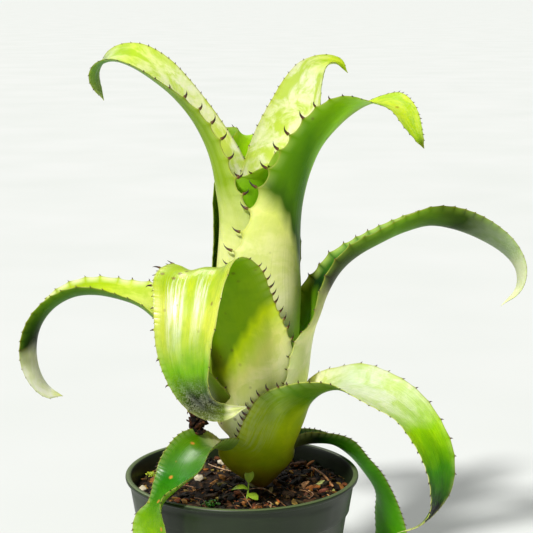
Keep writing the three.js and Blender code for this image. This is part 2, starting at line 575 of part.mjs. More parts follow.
// ---------------------------------------------------------------------- soil
// Chords of the faceted wall run inside its radius, so the mix is kept clear.
const chord = Math.cos(Math.PI / POT_SEGMENTS);
const soilR = (z) => potInside(z) * chord - SOIL_GAP;
function soilHeight(x, y) {
  const d = Math.hypot(x - PLANT_AXIS[0], y - PLANT_AXIS[1]);
  return SOIL_TOP + 2.2 * Math.exp(-(d * d) / 500)
    + 0.9 * Math.sin(x * 0.11 + 1.3) * Math.cos(y * 0.13 - 0.4) + 0.5 * Math.sin(x * 0.29 - y * 0.23);
}
function soilSolid() {
  const seg = 40;
  const rings = [14, 26, 38, 50, 61];
  const points = [];
  const tris = [];
  const ringAt = [];
  const addRing = (r, z, bumpy) => {
    ringAt.push(points.length);
    for (let i = 0; i < seg; i++) {
      const a = (2 * Math.PI * i) / seg;
      const x = r * Math.cos(a);
      const y = r * Math.sin(a);
      points.push([x, y, bumpy ? soilHeight(x, y) : z]);
    }
  };
  addRing(soilR(POT_FLOOR + SOIL_GAP) - 0.3, POT_FLOOR + SOIL_GAP, false);
  addRing(soilR(POT_BAND_FOOT_Z - 1.5) , POT_BAND_FOOT_Z - 1.5, false);
  addRing(soilR(POT_BAND_FOOT_Z + 1) - 0.15, POT_BAND_FOOT_Z + 1.2, false);
  addRing(soilR(SOIL_TOP - 2.5) - 0.15, SOIL_TOP - 2.5, false);
  for (const r of rings.reverse()) addRing(r, 0, true);
  points.push([0, 0, POT_FLOOR + SOIL_GAP], [0, 0, soilHeight(0, 0)]);
  const low = points.length - 2;
  const top = points.length - 1;
  for (let i = 0; i < seg; i++) {
    const j = (i + 1) % seg;
    tris.push([low, ringAt[0] + j, ringAt[0] + i]);
    for (let k = 0; k < ringAt.length - 1; k++) {
      const a = ringAt[k];
      const b = ringAt[k + 1];
      tris.push([a + i, a + j, b + j], [a + i, b + j, b + i]);
    }
    const e = ringAt[ringAt.length - 1];
    tris.push([e + i, e + j, top]);
  }
  return solidFrom(points, tris);
}

// --------------------------------------------------------- stem and the roots
const [ax, ay] = PLANT_AXIS;
const ROOTS = [
  [[ax, ay, 92], [ax + 16, ay + 6, 84], [ax + 27, ay + 12, 66], [ax + 31, ay + 15, 45]],
  [[ax, ay, 90], [ax - 12, ay + 14, 82], [ax - 22, ay + 24, 66], [ax - 27, ay + 30, 46]],
  [[ax, ay, 88], [ax - 16, ay - 8, 78], [ax - 30, ay - 16, 62], [ax - 36, ay - 20, 40]],
  [[ax, ay, 86], [ax + 8, ay - 16, 78], [ax + 14, ay - 30, 62], [ax + 16, ay - 37, 42]],
  [[ax, ay, 80], [ax + 2, ay + 1, 60], [ax - 1, ay - 3, 38], [ax + 3, ay - 1, 20]],
];
function stemSolid(grow) {
  let s = lathe([[0, 70 - grow], [3.6 + grow, 71 - grow], [5.4 + grow, 82], [6.0 + grow, 100],
    [5.8 + grow, 112], [4.6 + grow, 124], [3.0 + grow, 134], [1.4 + grow, 137 + grow], [0, 137.4 + grow]], 16);
  s = s.translate([ax, ay, 0]);
  for (const path of ROOTS) s = s.add(tube(path, 1.3 + grow, 6, 5));
  return s;
}

// -------------------------------------------------------------------- solids
const parts = [];
const put = (name, solid, colour, roughness, metalness = 0) => parts.push({ name, solid, colour, roughness, metalness });

const leafSolids = {};
const grown = {};
for (const name of NEST) grown[name] = leafSolid(LEAVES[name], FIT_GAP);
const placed = [];
const stem = stemSolid(0);
const stemGrown = stemSolid(FIT_GAP);
for (const name of NEST) {
  let s = leafSolid(LEAVES[name]).subtract(stemGrown);
  for (const other of placed) s = s.subtract(grown[other]);
  leafSolids[name] = mainBody(s);
  placed.push(name);
}

const loose = [];
for (const [name, x, y, l, b, t, h, seed] of CHIPS) {
  const z = soilHeight(x, y) + t * 0.22;
  loose.push([name, chip(x, y, z, l, b, t, h, seed), chip(x, y, z, l, b, t, h, seed, SOIL_GAP), "#8a4f26", 0.9]);
}
for (const [name, x, y, r, seed] of PERLITE) {
  const z = soilHeight(x, y) + r * 0.3;
  loose.push([name, solidFromGeometry(lump(x, y, z, r, r * 0.85, r * 0.75, 0.12, seed)),
    solidFromGeometry(lump(x, y, z, r + 0.5, r * 0.85 + 0.5, r * 0.75 + 0.5, 0.12, seed)), "#ddd6c4", 0.9]);
}
for (const [name, x, y, r, h, seed] of MOSS) {
  const z = soilHeight(x, y) + h * 0.1;
  loose.push([name, solidFromGeometry(lump(x, y, z, r, r * 0.8, h, 0.1, seed)),
    solidFromGeometry(lump(x, y, z, r + 0.5, r * 0.8 + 0.5, h + 0.5, 0.1, seed)), "#8fb43a", 0.85]);
}
const twigZ = (p) => soilHeight(p[0], p[1]) + 1.5;
const twigPath = [[...TWIG.from, twigZ(TWIG.from) + 0.6], [(TWIG.from[0] + TWIG.to[0]) / 2 + 0.8, (TWIG.from[1] + TWIG.to[1]) / 2, twigZ(TWIG.to) + 1.6], [...TWIG.to, twigZ(TWIG.to) + 0.8]];
loose.push(["twig", tube(twigPath, TWIG.radius, 6, 5), tube(twigPath, TWIG.radius + SOIL_GAP, 6, 5), "#c9a377", 0.8]);

// seedling: a thin stalk with four little blades
const SEEDLING = {
  stalk: [[3.6, -28, 96], [3.6, -27, 103], [4.4, -25, 108], [4.6, -24, 112.5]],
  blades: [
    { azimuth: 95, rows: [[4.6, -24, 112.2, 2.4, 30, 0], [4.9, -21.6, 114.2, 4.2, 28, 0], [5.2, -19, 116, 4.6, 25, 0], [5.4, -16.4, 117, 2.4, 20, 0]] },
    { azimuth: 160, rows: [[4.4, -25, 108, 2.4, 30, 0], [1.4, -24.2, 109.6, 4.4, 28, 0], [-1.8, -23.2, 110.2, 4.8, 25, 0], [-5, -22, 109.4, 2.4, 20, 0]] },
    { azimuth: -35, rows: [[4.1, -25.8, 106.5, 2.4, 30, 0], [6.4, -27.6, 107.6, 4.2, 28, 0], [8.8, -29.4, 107.6, 4.4, 25, 0], [11, -31, 106.8, 2.4, 20, 0]] },
  ],
};
let seedling = tube(SEEDLING.stalk, 0.8, 6, 6);
for (const b of SEEDLING.blades) seedling = seedling.add(leafSolid(b));
for (const name of NEST) seedling = seedling.subtract(grown[name]);
seedling = mainBody(seedling);
const seedlingHole = tube(SEEDLING.stalk, 0.8 + SOIL_GAP, 6, 6).add(tube([[3.6, -28, 94], [3.6, -28, 95], [3.6, -28, 96.5]], 1.6, 6, 2));

let dried = solidFromGeometry(lump(DRIED_BASE.x, DRIED_BASE.y, DRIED_BASE.z, DRIED_BASE.rx, DRIED_BASE.ry, DRIED_BASE.rz, 0.16, DRIED_BASE.seed, 2));
for (const name of NEST) dried = dried.subtract(grown[name]);
dried = mainBody(dried.subtract(stemGrown));

let soil = soilSolid().subtract(stemGrown).subtract(seedlingHole);
for (const [, , hole] of loose) soil = soil.subtract(hole);
for (const name of NEST) soil = soil.subtract(grown[name]);
soil = mainBody(soil);

const GREENS = {
  leaf_inner: "#6f8f3e", leaf_upper_centre: "#c9dd8c", leaf_back: "#b9cf6a", leaf_upper_left: "#b7cc72",
  leaf_upper_right: "#9fb862", leaf_left: "#a9c65a", leaf_front_left: "#a8c94e", leaf_right: "#8ba660",
  leaf_lower_back_right: "#6f8a4c", leaf_lower_left: "#7f9c4e", leaf_lower_right: "#a7c45a",
};
put("pot", pot, "#4d6247", 0.55);
put("potting_mix", soil, "#4a3527", 1);
put("stem_and_roots", mainBody(stem), "#a9a06a", 0.8);
for (const name of [...NEST].reverse()) put(name, leafSolids[name], GREENS[name], 0.45);
put("dried_leaf_base", dried, "#3b2a20", 0.95);
put("seedling", seedling, "#9cc653", 0.5);
for (const [name, solid, , colour, roughness] of loose) put(name, mainBody(solid), colour, roughness);

// --------------------------------------------------------------- scene graph
const bromeliad = new THREE.Group();
bromeliad.name = "bromeliad";
for (const { name, solid, colour, roughness, metalness } of parts) {
  const mesh = new THREE.Mesh(geometryFrom(solid),
    new THREE.MeshStandardMaterial({ color: new THREE.Color(colour), roughness, metalness }));
  mesh.name = name;
  mesh.material.name = name;
  bromeliad.add(mesh);
}

export default bromeliad;
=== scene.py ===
import bpy
import math
import random
import numpy as np
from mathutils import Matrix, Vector, noise as mnoise


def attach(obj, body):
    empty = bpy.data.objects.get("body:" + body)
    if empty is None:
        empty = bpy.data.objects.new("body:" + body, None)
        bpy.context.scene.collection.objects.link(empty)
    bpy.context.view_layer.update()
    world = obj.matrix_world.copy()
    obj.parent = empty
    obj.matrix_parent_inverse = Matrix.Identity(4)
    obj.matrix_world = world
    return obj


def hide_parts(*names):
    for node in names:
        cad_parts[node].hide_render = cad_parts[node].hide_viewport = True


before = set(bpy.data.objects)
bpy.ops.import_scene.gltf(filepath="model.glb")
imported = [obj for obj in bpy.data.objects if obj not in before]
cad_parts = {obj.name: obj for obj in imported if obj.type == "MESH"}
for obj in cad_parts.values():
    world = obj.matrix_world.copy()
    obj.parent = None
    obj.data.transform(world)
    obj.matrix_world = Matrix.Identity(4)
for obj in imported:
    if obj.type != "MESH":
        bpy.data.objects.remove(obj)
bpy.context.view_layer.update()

MM = 0.001
scene = bpy.context.scene

# ------------------------------------------------------------------ camera
camera_data = bpy.data.cameras.new("camera")
camera_data.sensor_width = 36.0
camera_data.lens = 1500.0 / 533.0 * 36.0
camera_data.clip_start = 0.05
camera_data.clip_end = 1000.0
camera = bpy.data.objects.new("camera", camera_data)
camera.location = (16.0 * MM, -941.4 * MM, 419.5 * MM)
camera.rotation_euler = (math.radians(90.0 - 10.32), 0.0, 0.0)
scene.collection.objects.link(camera)
scene.camera = camera

# ------------------------------------------------------------------ leaf stations
# name: (azimuth of the leaf, [(x, y, z, width, half angle of the section, roll), ...]) in mm and degrees
LEAVES = {
    'leaf_inner': (-20, [
        (13, -1.3, 138, 8.4, 60, -0),
        (18, -3.1, 152.3, 30.6, 95, 0),
        (20.8, -4.1, 167.2, 47.8, 114.4, -0),
        (22.2, -4.6, 182.4, 58.1, 126.1, 0),
        (22.9, -4.8, 197.6, 64.3, 133.2, 0),
        (23.4, -4.8, 212.8, 68, 137.4, -0),
        (24.1, -4.9, 227.9, 70.4, 140, 0),
        (24.7, -5.1, 243.1, 72.1, 141.5, -0),
        (23.3, -5.1, 259.6, 77.5, 149.8, -0.3),
        (20.7, -4.3, 276.6, 73.3, 128.1, -3),
        (19.2, -2.9, 292.4, 66.6, 103.7, -4.9),
        (21.1, -2.5, 304.8, 53.8, 75.3, -3.7),
        (23.4, -6, 313.4, 34.8, 45.8, -0.1),
        (29.1, -11.6, 318.5, 14.5, 16.6, 3.2),
    ]),
    'leaf_upper_centre': (65, [
        (12.7, 7.3, 135.7, 3.9, 57.2, -0.7),
        (15, 11.5, 149.1, 36.7, 92.4, -0.2),
        (16.3, 13.9, 163.3, 55.4, 102.6, 0),
        (17, 15.4, 177.8, 62.7, 105.3, -0),
        (17.5, 16.2, 192.4, 66.4, 106, -0),
        (17.8, 16.8, 207.1, 68.2, 106, -0),
        (18.3, 17.1, 221.7, 69.4, 106, -0),
        (18.7, 16.8, 236.3, 70.2, 106, -0),
        (18.4, 16.8, 250.9, 70.4, 106.1, 0.1),
        (18.9, 19.1, 265.3, 70.6, 99.6, -1.7),
        (21.8, 21.9, 280.4, 66.3, 88.3, -5.8),
        (26.1, 24.3, 296.3, 62.1, 77.9, -7.2),
        (30.5, 26, 313.1, 58.3, 67.6, -7),
        (35, 27.9, 329.7, 53.2, 58.2, -7.4),
        (39.2, 30.9, 345.3, 45.6, 51.2, -9.4),
        (42.8, 35.4, 359.1, 37.6, 47.4, -13.7),
        (47.4, 40.8, 369.4, 29.4, 43.6, -16.9),
        (54.4, 45.4, 374.5, 20.8, 37.9, -17.3),
        (62.3, 46.9, 374.7, 12.2, 30.4, -12.5),
        (69, 44.3, 368.5, 2.3, 21.4, -5.4),
    ]),
    'leaf_back': (107, [
        (7.3, 8.1, 123.3, 18.1, 59.1, 0.2),
        (4.7, 15.5, 136.4, 44.1, 77.5, 0.1),
        (3.1, 20.6, 150.7, 59.8, 77.2, 0.3),
        (2.3, 23.6, 165.6, 68.1, 78.1, 0.1),
        (1.9, 25.4, 180.7, 73.3, 78.9, 0),
        (1.9, 26.8, 195.9, 76.8, 78.7, 0.2),
        (1.9, 27.8, 211.2, 79.3, 78.2, 0.4),
        (2, 28.5, 226.4, 80.6, 77.7, 0.7),
        (2.2, 28.8, 241.5, 81.3, 77.8, 0.5),
        (2.7, 28.9, 256.8, 82.2, 77, 1.6),
        (2.5, 28.7, 272.3, 82.3, 80.6, 0.4),
        (3.8, 31.7, 287.3, 72.1, 69.6, -2.7),
        (6.6, 37.5, 301.1, 61.2, 60, -3.9),
        (9.9, 45.1, 312.7, 50.3, 53.4, -2.1),
        (10.6, 54, 320.8, 40.9, 47.8, -1.2),
        (6.7, 63.4, 324.7, 34.5, 41, -5),
        (0.8, 73.4, 324.6, 31.4, 37, -7.3),
        (-3.1, 83.7, 319.4, 29.1, 34.3, -6.1),
        (-4.3, 93, 309.5, 26.5, 32.1, -4.1),
        (-3.3, 100, 296.1, 22.9, 30.1, -2.2),
        (-0.9, 104.1, 280.4, 18.4, 28, -0.8),
        (2.3, 104.9, 263.3, 12.9, 25.5, 0.2),
        (6.1, 102.4, 245.2, 6.9, 22.6, 1),
    ]),
    'leaf_upper_left': (167, [
        (2.3, 1.7, 130.5, 14.7, 59.9, 0),
        (-4.5, 3.3, 144, 43.3, 87.2, 0.1),
        (-9.1, 4.2, 158.3, 63.2, 94.7, -0),
        (-11.4, 4.8, 173.2, 73, 97.2, 0),
        (-12.8, 5.2, 188.3, 80.1, 98.9, 0),
        (-13.8, 5.5, 203.4, 85.5, 100, 0),
        (-14.5, 5.7, 218.5, 88.7, 100, 0),
        (-14.9, 5.8, 233.6, 90.1, 100, 0),
        (-14.9, 5.6, 248.8, 89.6, 99.1, -0),
        (-14, 5.5, 264.3, 88, 98.4, 0.8),
        (-13.8, 6, 280, 78.8, 86.6, 3.4),
        (-15.1, 7, 295.8, 68.9, 72.9, 2.5),
        (-17.6, 6.7, 311.8, 59.4, 63.3, 3.2),
        (-23.2, 5.7, 327.8, 51.6, 57.7, 6),
        (-31.4, 4, 343.2, 45.7, 53.5, 6.3),
        (-41.9, 1.9, 357.1, 41.5, 49.3, 1.5),
        (-53.7, 0, 368.9, 38.4, 45.1, -5.7),
        (-65.9, -0.4, 377, 34.6, 42.3, -8.7),
        (-77.7, 1.3, 379.5, 28.4, 38.5, -6.5),
        (-86.9, 4.9, 375.6, 21.3, 33.6, -3.8),
        (-90.9, 10.3, 366.3, 12.8, 27.8, -0.1),
        (-87.3, 16.6, 352.4, 2.1, 20.9, 2.6),
    ]),
    'leaf_upper_right': (-25, [
        (15.7, -3.6, 126.8, 18, 57.9, 0.3),
        (22.7, -6.7, 140.2, 45.4, 83, 0.2),
        (27.9, -8.6, 154.5, 68.8, 94.3, -0.1),
        (30.8, -9.8, 169.5, 80.2, 96.9, -0.2),
        (32.5, -10.5, 184.7, 85.7, 97.3, -0.1),
        (33.7, -11, 200, 89.8, 96.9, -0.2),
        (34.8, -11.3, 215.3, 93.2, 96.9, -0.2),
        (35.2, -11.5, 230.6, 94.2, 96.4, -0.4),
        (34.6, -11.6, 245.9, 94, 94.7, -0.3),
        (34.7, -11.1, 261.3, 89.8, 88.1, 1),
        (34.8, -11.1, 277.5, 74.4, 74.5, 0.5),
        (36.7, -11.1, 294.6, 61.6, 63.1, -3.1),
        (41.1, -12.1, 311.7, 50.8, 53.4, -4.5),
        (48.4, -14.4, 327.6, 44.1, 47.3, -7.2),
        (58.1, -18.4, 340.8, 40.9, 43.3, -11.6),
        (68.9, -24.7, 349.8, 37.6, 38.8, -11.2),
        (79.3, -33.1, 354.1, 33.4, 32.9, -6.1),
        (88.2, -43, 354.9, 27.4, 28.7, 1.2),
        (95.9, -52, 351.3, 19.5, 25.9, 1.3),
        (101.7, -59.5, 342.3, 12.6, 20.4, 3.4),
        (108.3, -64.8, 330.2, 1.9, 14.9, 4.1),
    ]),
    'leaf_left': (184, [
        (0.9, -0.8, 119.6, 17.7, 57.4, 0),
        (-6.4, -0.6, 132.3, 45.1, 71.8, 1.1),
        (-12.6, -1.1, 145.9, 61.8, 74.7, 0.7),
        (-18.6, -2.3, 160.3, 61.2, 66.1, -2.3),
        (-25, -4.1, 175.3, 59.3, 58.6, -6.9),
        (-32.1, -6.2, 190.3, 56.2, 51.9, -12.2),
        (-40.5, -7.8, 204.2, 52, 46.5, -17),
        (-50.3, -8.3, 216.1, 47.3, 42.9, -19.4),
        (-61.9, -7.4, 224.8, 42.1, 42.8, -15.6),
        (-75.8, -6.4, 229.3, 36.6, 41.5, -10.5),
        (-90.7, -5.6, 231.7, 35, 47.5, -7.2),
        (-105.5, -6.1, 230.1, 34, 53.9, -3.5),
        (-119, -7.2, 222.8, 33, 56.6, -0.3),
        (-128.4, -7.8, 210.5, 31.1, 54.8, 4.1),
        (-132.4, -7.6, 195.3, 28, 49.3, 8.7),
        (-130.9, -6.4, 180.6, 22.1, 41, 10.5),
        (-124.9, -4.1, 168.8, 14, 31.2, 10),
        (-115.8, 0.1, 162.9, 2.4, 21, 7.9),
    ]),
    'leaf_front_left': (-107, [
        (4.5, -9.4, 115.5, 16.4, 50.2, 1.1),
        (3.8, -15.3, 129.1, 56.5, 108.3, -3.7),
        (2.2, -23, 141.8, 65.7, 73.4, 0.7),
        (-0.9, -27.4, 156, 78, 98.8, -3),
        (0.8, -31.5, 171.7, 78.5, 78.3, -1.1),
        (1, -34.6, 186.8, 75.6, 70.8, -1.4),
        (-1.7, -36.6, 201.4, 70.8, 66.8, -1.9),
        (-5.6, -38.4, 215.7, 65.6, 64.5, -2.3),
        (-9.1, -41.1, 229.3, 62.1, 61.1, -3),
        (-12.8, -46, 243.3, 59.5, 47.4, -3.9),
        (-16.9, -53.3, 254.5, 54.4, 26.2, -3.5),
        (-21.7, -62.3, 257.3, 52.2, 21.8, -2.4),
        (-25.5, -71.8, 252.9, 52.9, 28.1, -3.7),
        (-27.4, -80.3, 243.2, 48.3, 32.7, -4),
        (-28.8, -86.5, 232.1, 44.1, 28.7, -5.2),
        (-30.4, -90.2, 218.5, 38.9, 27.4, -3.9),
        (-29.5, -91.5, 204, 33, 26, -2.7),
        (-26.1, -90.7, 190.7, 25.9, 24.4, -1.6),
        (-19.8, -89, 181, 17.3, 23.6, 0.4),
        (-9.5, -87.6, 177.1, 9.9, 22.2, 0.5),
        (4.4, -86.8, 179.8, 2.2, 20.3, -0.1),
    ]),
    'leaf_right': (-3, [
        (17.7, -1.5, 112.7, 18.3, 59, 0.3),
        (25.8, -1.2, 124.9, 45.2, 70.8, 1.1),
        (32.2, -1.6, 138.4, 65.1, 69.9, 1.5),
        (37.2, -2.1, 152.8, 69.4, 66.9, 0.6),
        (40.8, -3.5, 167.7, 67.2, 60.7, 3),
        (43.1, -4.8, 182.9, 64.8, 56, 4.2),
        (44.8, -4.7, 197.7, 61.8, 52.3, 4.3),
        (47, -4, 211.3, 57.3, 46, 9.6),
        (50.4, -5.4, 223.9, 52.5, 41.5, 14.7),
        (56.2, -6.9, 236, 47.7, 44.9, 6.7),
        (63.9, -7.5, 247.7, 44.7, 51.9, 1.8),
        (74.9, -7.2, 257.3, 40.6, 53.6, -3.6),
        (88.7, -5.5, 264.9, 37.6, 53.7, -2.6),
        (103.6, -2.1, 271.1, 37.6, 58.1, -4.3),
        (119.3, 2.1, 274.5, 39.5, 64.6, -6.2),
        (136, 5.7, 272, 37.6, 62.5, -10.8),
        (153.1, 7.6, 265.8, 33.3, 56.9, -12.4),
        (167.9, 7.7, 256.9, 27.1, 49.5, -10.2),
        (176.8, 6.3, 245.6, 19.2, 40.6, -5.9),
        (176.8, 4.6, 233.1, 11.2, 31.1, -2.5),
        (166.6, 3.1, 221.5, 2, 20.8, 1.2),
    ]),
    'leaf_lower_back_right': (24, [
        (17.6, 2.4, 109.1, 25.1, 57.1, 0.8),
        (25.6, 6.5, 119.2, 33.7, 58.5, -3.9),
        (35.2, 12.2, 124.8, 38.5, 59.4, -10.6),
        (48, 17.6, 125.6, 38.6, 51.9, -7.3),
        (61.3, 23.8, 122.3, 37.3, 43.8, -4.7),
        (72.8, 29.5, 113, 33.9, 33.4, 1.4),
        (83.5, 34.3, 100.5, 32.7, 27.8, 1.8),
        (92.2, 38.6, 86.4, 32.3, 25.4, 3.7),
        (97.3, 42.8, 71.5, 32.6, 22.2, 1.8),
        (99.6, 46.9, 57.2, 33.1, 21, -6.3),
        (99.5, 49.6, 43.7, 27.4, 19.4, -11.1),
        (99.2, 50.2, 31, 16.1, 19.2, -10.9),
        (99.5, 48.8, 19.1, 2.3, 19.6, -8.6),
    ]),
    'leaf_lower_left': (-138, [
        (0.8, -6.1, 109.1, 23.1, 60.4, 1),
        (-6.4, -13.5, 124.6, 32.2, 60.9, 2),
        (-14.7, -22.4, 134.1, 38.6, 59.1, 3.9),
        (-23.1, -32.6, 136.9, 40.7, 54, 7.7),
        (-30.3, -43.6, 133.4, 39.9, 45.8, 13.5),
        (-35.5, -54.3, 126.5, 38.8, 34.7, 17.1),
        (-42.2, -62.9, 119.9, 35.9, 31.5, 31.5),
        (-48.5, -69.1, 113.1, 33.9, 30.1, 43.3),
        (-52, -73.4, 104.9, 33.2, 27.3, 25.1),
        (-53.2, -77.4, 93.7, 26.8, 23.2, 8.5),
        (-56, -80.1, 78.7, 15.5, 21, -2.1),
        (-61, -81.4, 59.8, 2.2, 19.4, -10.1),
    ]),
    'leaf_lower_right': (-55, [
        (14.5, -8.7, 104.3, 16.4, 58.8, -0),
        (19.1, -15.3, 117.3, 77, 65, -1.3),
        (26.6, -19.8, 131.6, 71.5, 66.5, 9.6),
        (32.7, -23.4, 147.3, 69.7, 70, 9.3),
        (38.3, -27.8, 160.8, 66.5, 72.9, 12.9),
        (45.8, -32.9, 170.1, 57.3, 64, 17.5),
        (55.1, -38.7, 176.9, 49.2, 52.6, 19.8),
        (66, -45.6, 180.9, 45.2, 45.6, 24.1),
        (77.9, -53.9, 179.9, 42.1, 35.8, 29.9),
        (90.8, -62, 175.7, 39.4, 31.4, 30.3),
        (102.5, -69.5, 168, 36.5, 29, 28.6),
        (111.4, -75.9, 156.7, 33, 26.1, 26.4),
        (117, -80.8, 143.3, 30.2, 22.8, 26.6),
        (119.1, -83.2, 129.7, 24.7, 21.2, 21.5),
        (116.2, -83.2, 116.8, 16.1, 17.8, 12.4),
        (108.5, -82.3, 105.8, 8.7, 14.8, 6.1),
        (94.6, -80.3, 99.2, 1.5, 10.8, -0.3),
    ]),
}


# ------------------------------------------------------------------ materials


def lin(c):
    """An 8-bit sRGB colour as linear RGBA."""
    out = []
    for v in c[:3]:
        v = v / 255.0
        out.append(v / 12.92 if v <= 0.04045 else ((v + 0.055) / 1.055) ** 2.4)
    return (*out, 1.0)


class Graph:
    """A little helper round a material's node tree."""

    def __init__(self, name):
        self.mat = bpy.data.materials.new(name)
        self.mat.use_nodes = True
        self.nt = self.mat.node_tree
        self.nt.nodes.clear()
        self.out = self.nt.nodes.new("ShaderNodeOutputMaterial")
        self.bsdf = self.nt.nodes.new("ShaderNodeBsdfPrincipled")
        self.nt.links.new(self.bsdf.outputs[0], self.out.inputs["Surface"])

    def put(self, socket, value):
        if isinstance(value, bpy.types.NodeSocket):
            self.nt.links.new(value, socket)
        else:
            socket.default_value = value

    def set(self, name, value):
        self.put(self.bsdf.inputs[name], value)

    def coords(self):
        n = self.nt.nodes.new("ShaderNodeTexCoord")
        return n.outputs["Object"]

    def uv(self, name="leaf"):
        n = self.nt.nodes.new("ShaderNodeUVMap")
        n.uv_map = name
        s = self.nt.nodes.new("ShaderNodeSeparateXYZ")
        self.nt.links.new(n.outputs[0], s.inputs[0])
        return s.outputs[0], s.outputs[1]

    def attr(self, name):
        n = self.nt.nodes.new("ShaderNodeAttribute")
        n.attribute_name = name
        return n.outputs["Color"], n.outputs["Fac"]

    def math(self, op, a, b=0.0, c=0.0, clamp=False):
        n = self.nt.nodes.new("ShaderNodeMath")
        n.operation = op
        n.use_clamp = clamp
        for i, v in enumerate((a, b, c)):
            self.put(n.inputs[i], v)
        return n.outputs[0]

    def vec(self, x, y, z=0.0):
        n = self.nt.nodes.new("ShaderNodeCombineXYZ")
        for i, v in enumerate((x, y, z)):
            self.put(n.inputs[i], v)
        return n.outputs[0]

    def scale(self, vector, factors):
        n = self.nt.nodes.new("ShaderNodeVectorMath")
        n.operation = "MULTIPLY"
        self.put(n.inputs[0], vector)
        n.inputs[1].default_value = factors
        return n.outputs[0]

    def noise(self, vector, scale, detail=3.0, rough=0.55, distortion=0.0):
        n = self.nt.nodes.new("ShaderNodeTexNoise")
        self.put(n.inputs["Vector"], vector)
        n.inputs["Scale"].default_value = scale
        n.inputs["Detail"].default_value = detail
        n.inputs["Roughness"].default_value = rough
        n.inputs["Distortion"].default_value = distortion
        return n.outputs["Fac"]

    def cells(self, vector, scale, feature="F1", rand=1.0):
        n = self.nt.nodes.new("ShaderNodeTexVoronoi")
        n.feature = feature
        self.put(n.inputs["Vector"], vector)
        n.inputs["Scale"].default_value = scale
        n.inputs["Randomness"].default_value = rand
        return n.outputs["Distance"]

    def cell_colour(self, vector, scale):
        n = self.nt.nodes.new("ShaderNodeTexVoronoi")
        self.put(n.inputs["Vector"], vector)
        n.inputs["Scale"].default_value = scale
        return n.outputs["Color"]

    def ramp(self, fac, stops, smooth=False):
        n = self.nt.nodes.new("ShaderNodeValToRGB")
        n.color_ramp.interpolation = "EASE" if smooth else "LINEAR"
        el = n.color_ramp.elements
        while len(el) > 1:
            el.remove(el[-1])
        for i, (p, c) in enumerate(stops):
            e = el[0] if i == 0 else el.new(p)
            e.position = p
            e.color = c if len(c) == 4 else (*c, 1.0)
        self.put(n.inputs[0], fac)
        return n.outputs[0]

    def grey(self, fac, stops, smooth=False):
        return self.ramp(fac, [(p, (v, v, v, 1.0)) for p, v in stops], smooth)

    def mix(self, fac, a, b, mode="MIX"):
        n = self.nt.nodes.new("ShaderNodeMix")
        n.data_type = "RGBA"
        n.blend_type = mode
        self.put(n.inputs["Factor"], fac)
        self.put(n.inputs[6], a)
        self.put(n.inputs[7], b)
        return n.outputs[2]

    def bump(self, height, strength=0.3, distance=0.0005, normal=None):
        n = self.nt.nodes.new("ShaderNodeBump")
        n.inputs["Strength"].default_value = strength
        n.inputs["Distance"].default_value = distance
        self.put(n.inputs["Height"], height)
        if normal is not None:
            self.nt.links.new(normal, n.inputs["Normal"])
        return n.outputs[0]


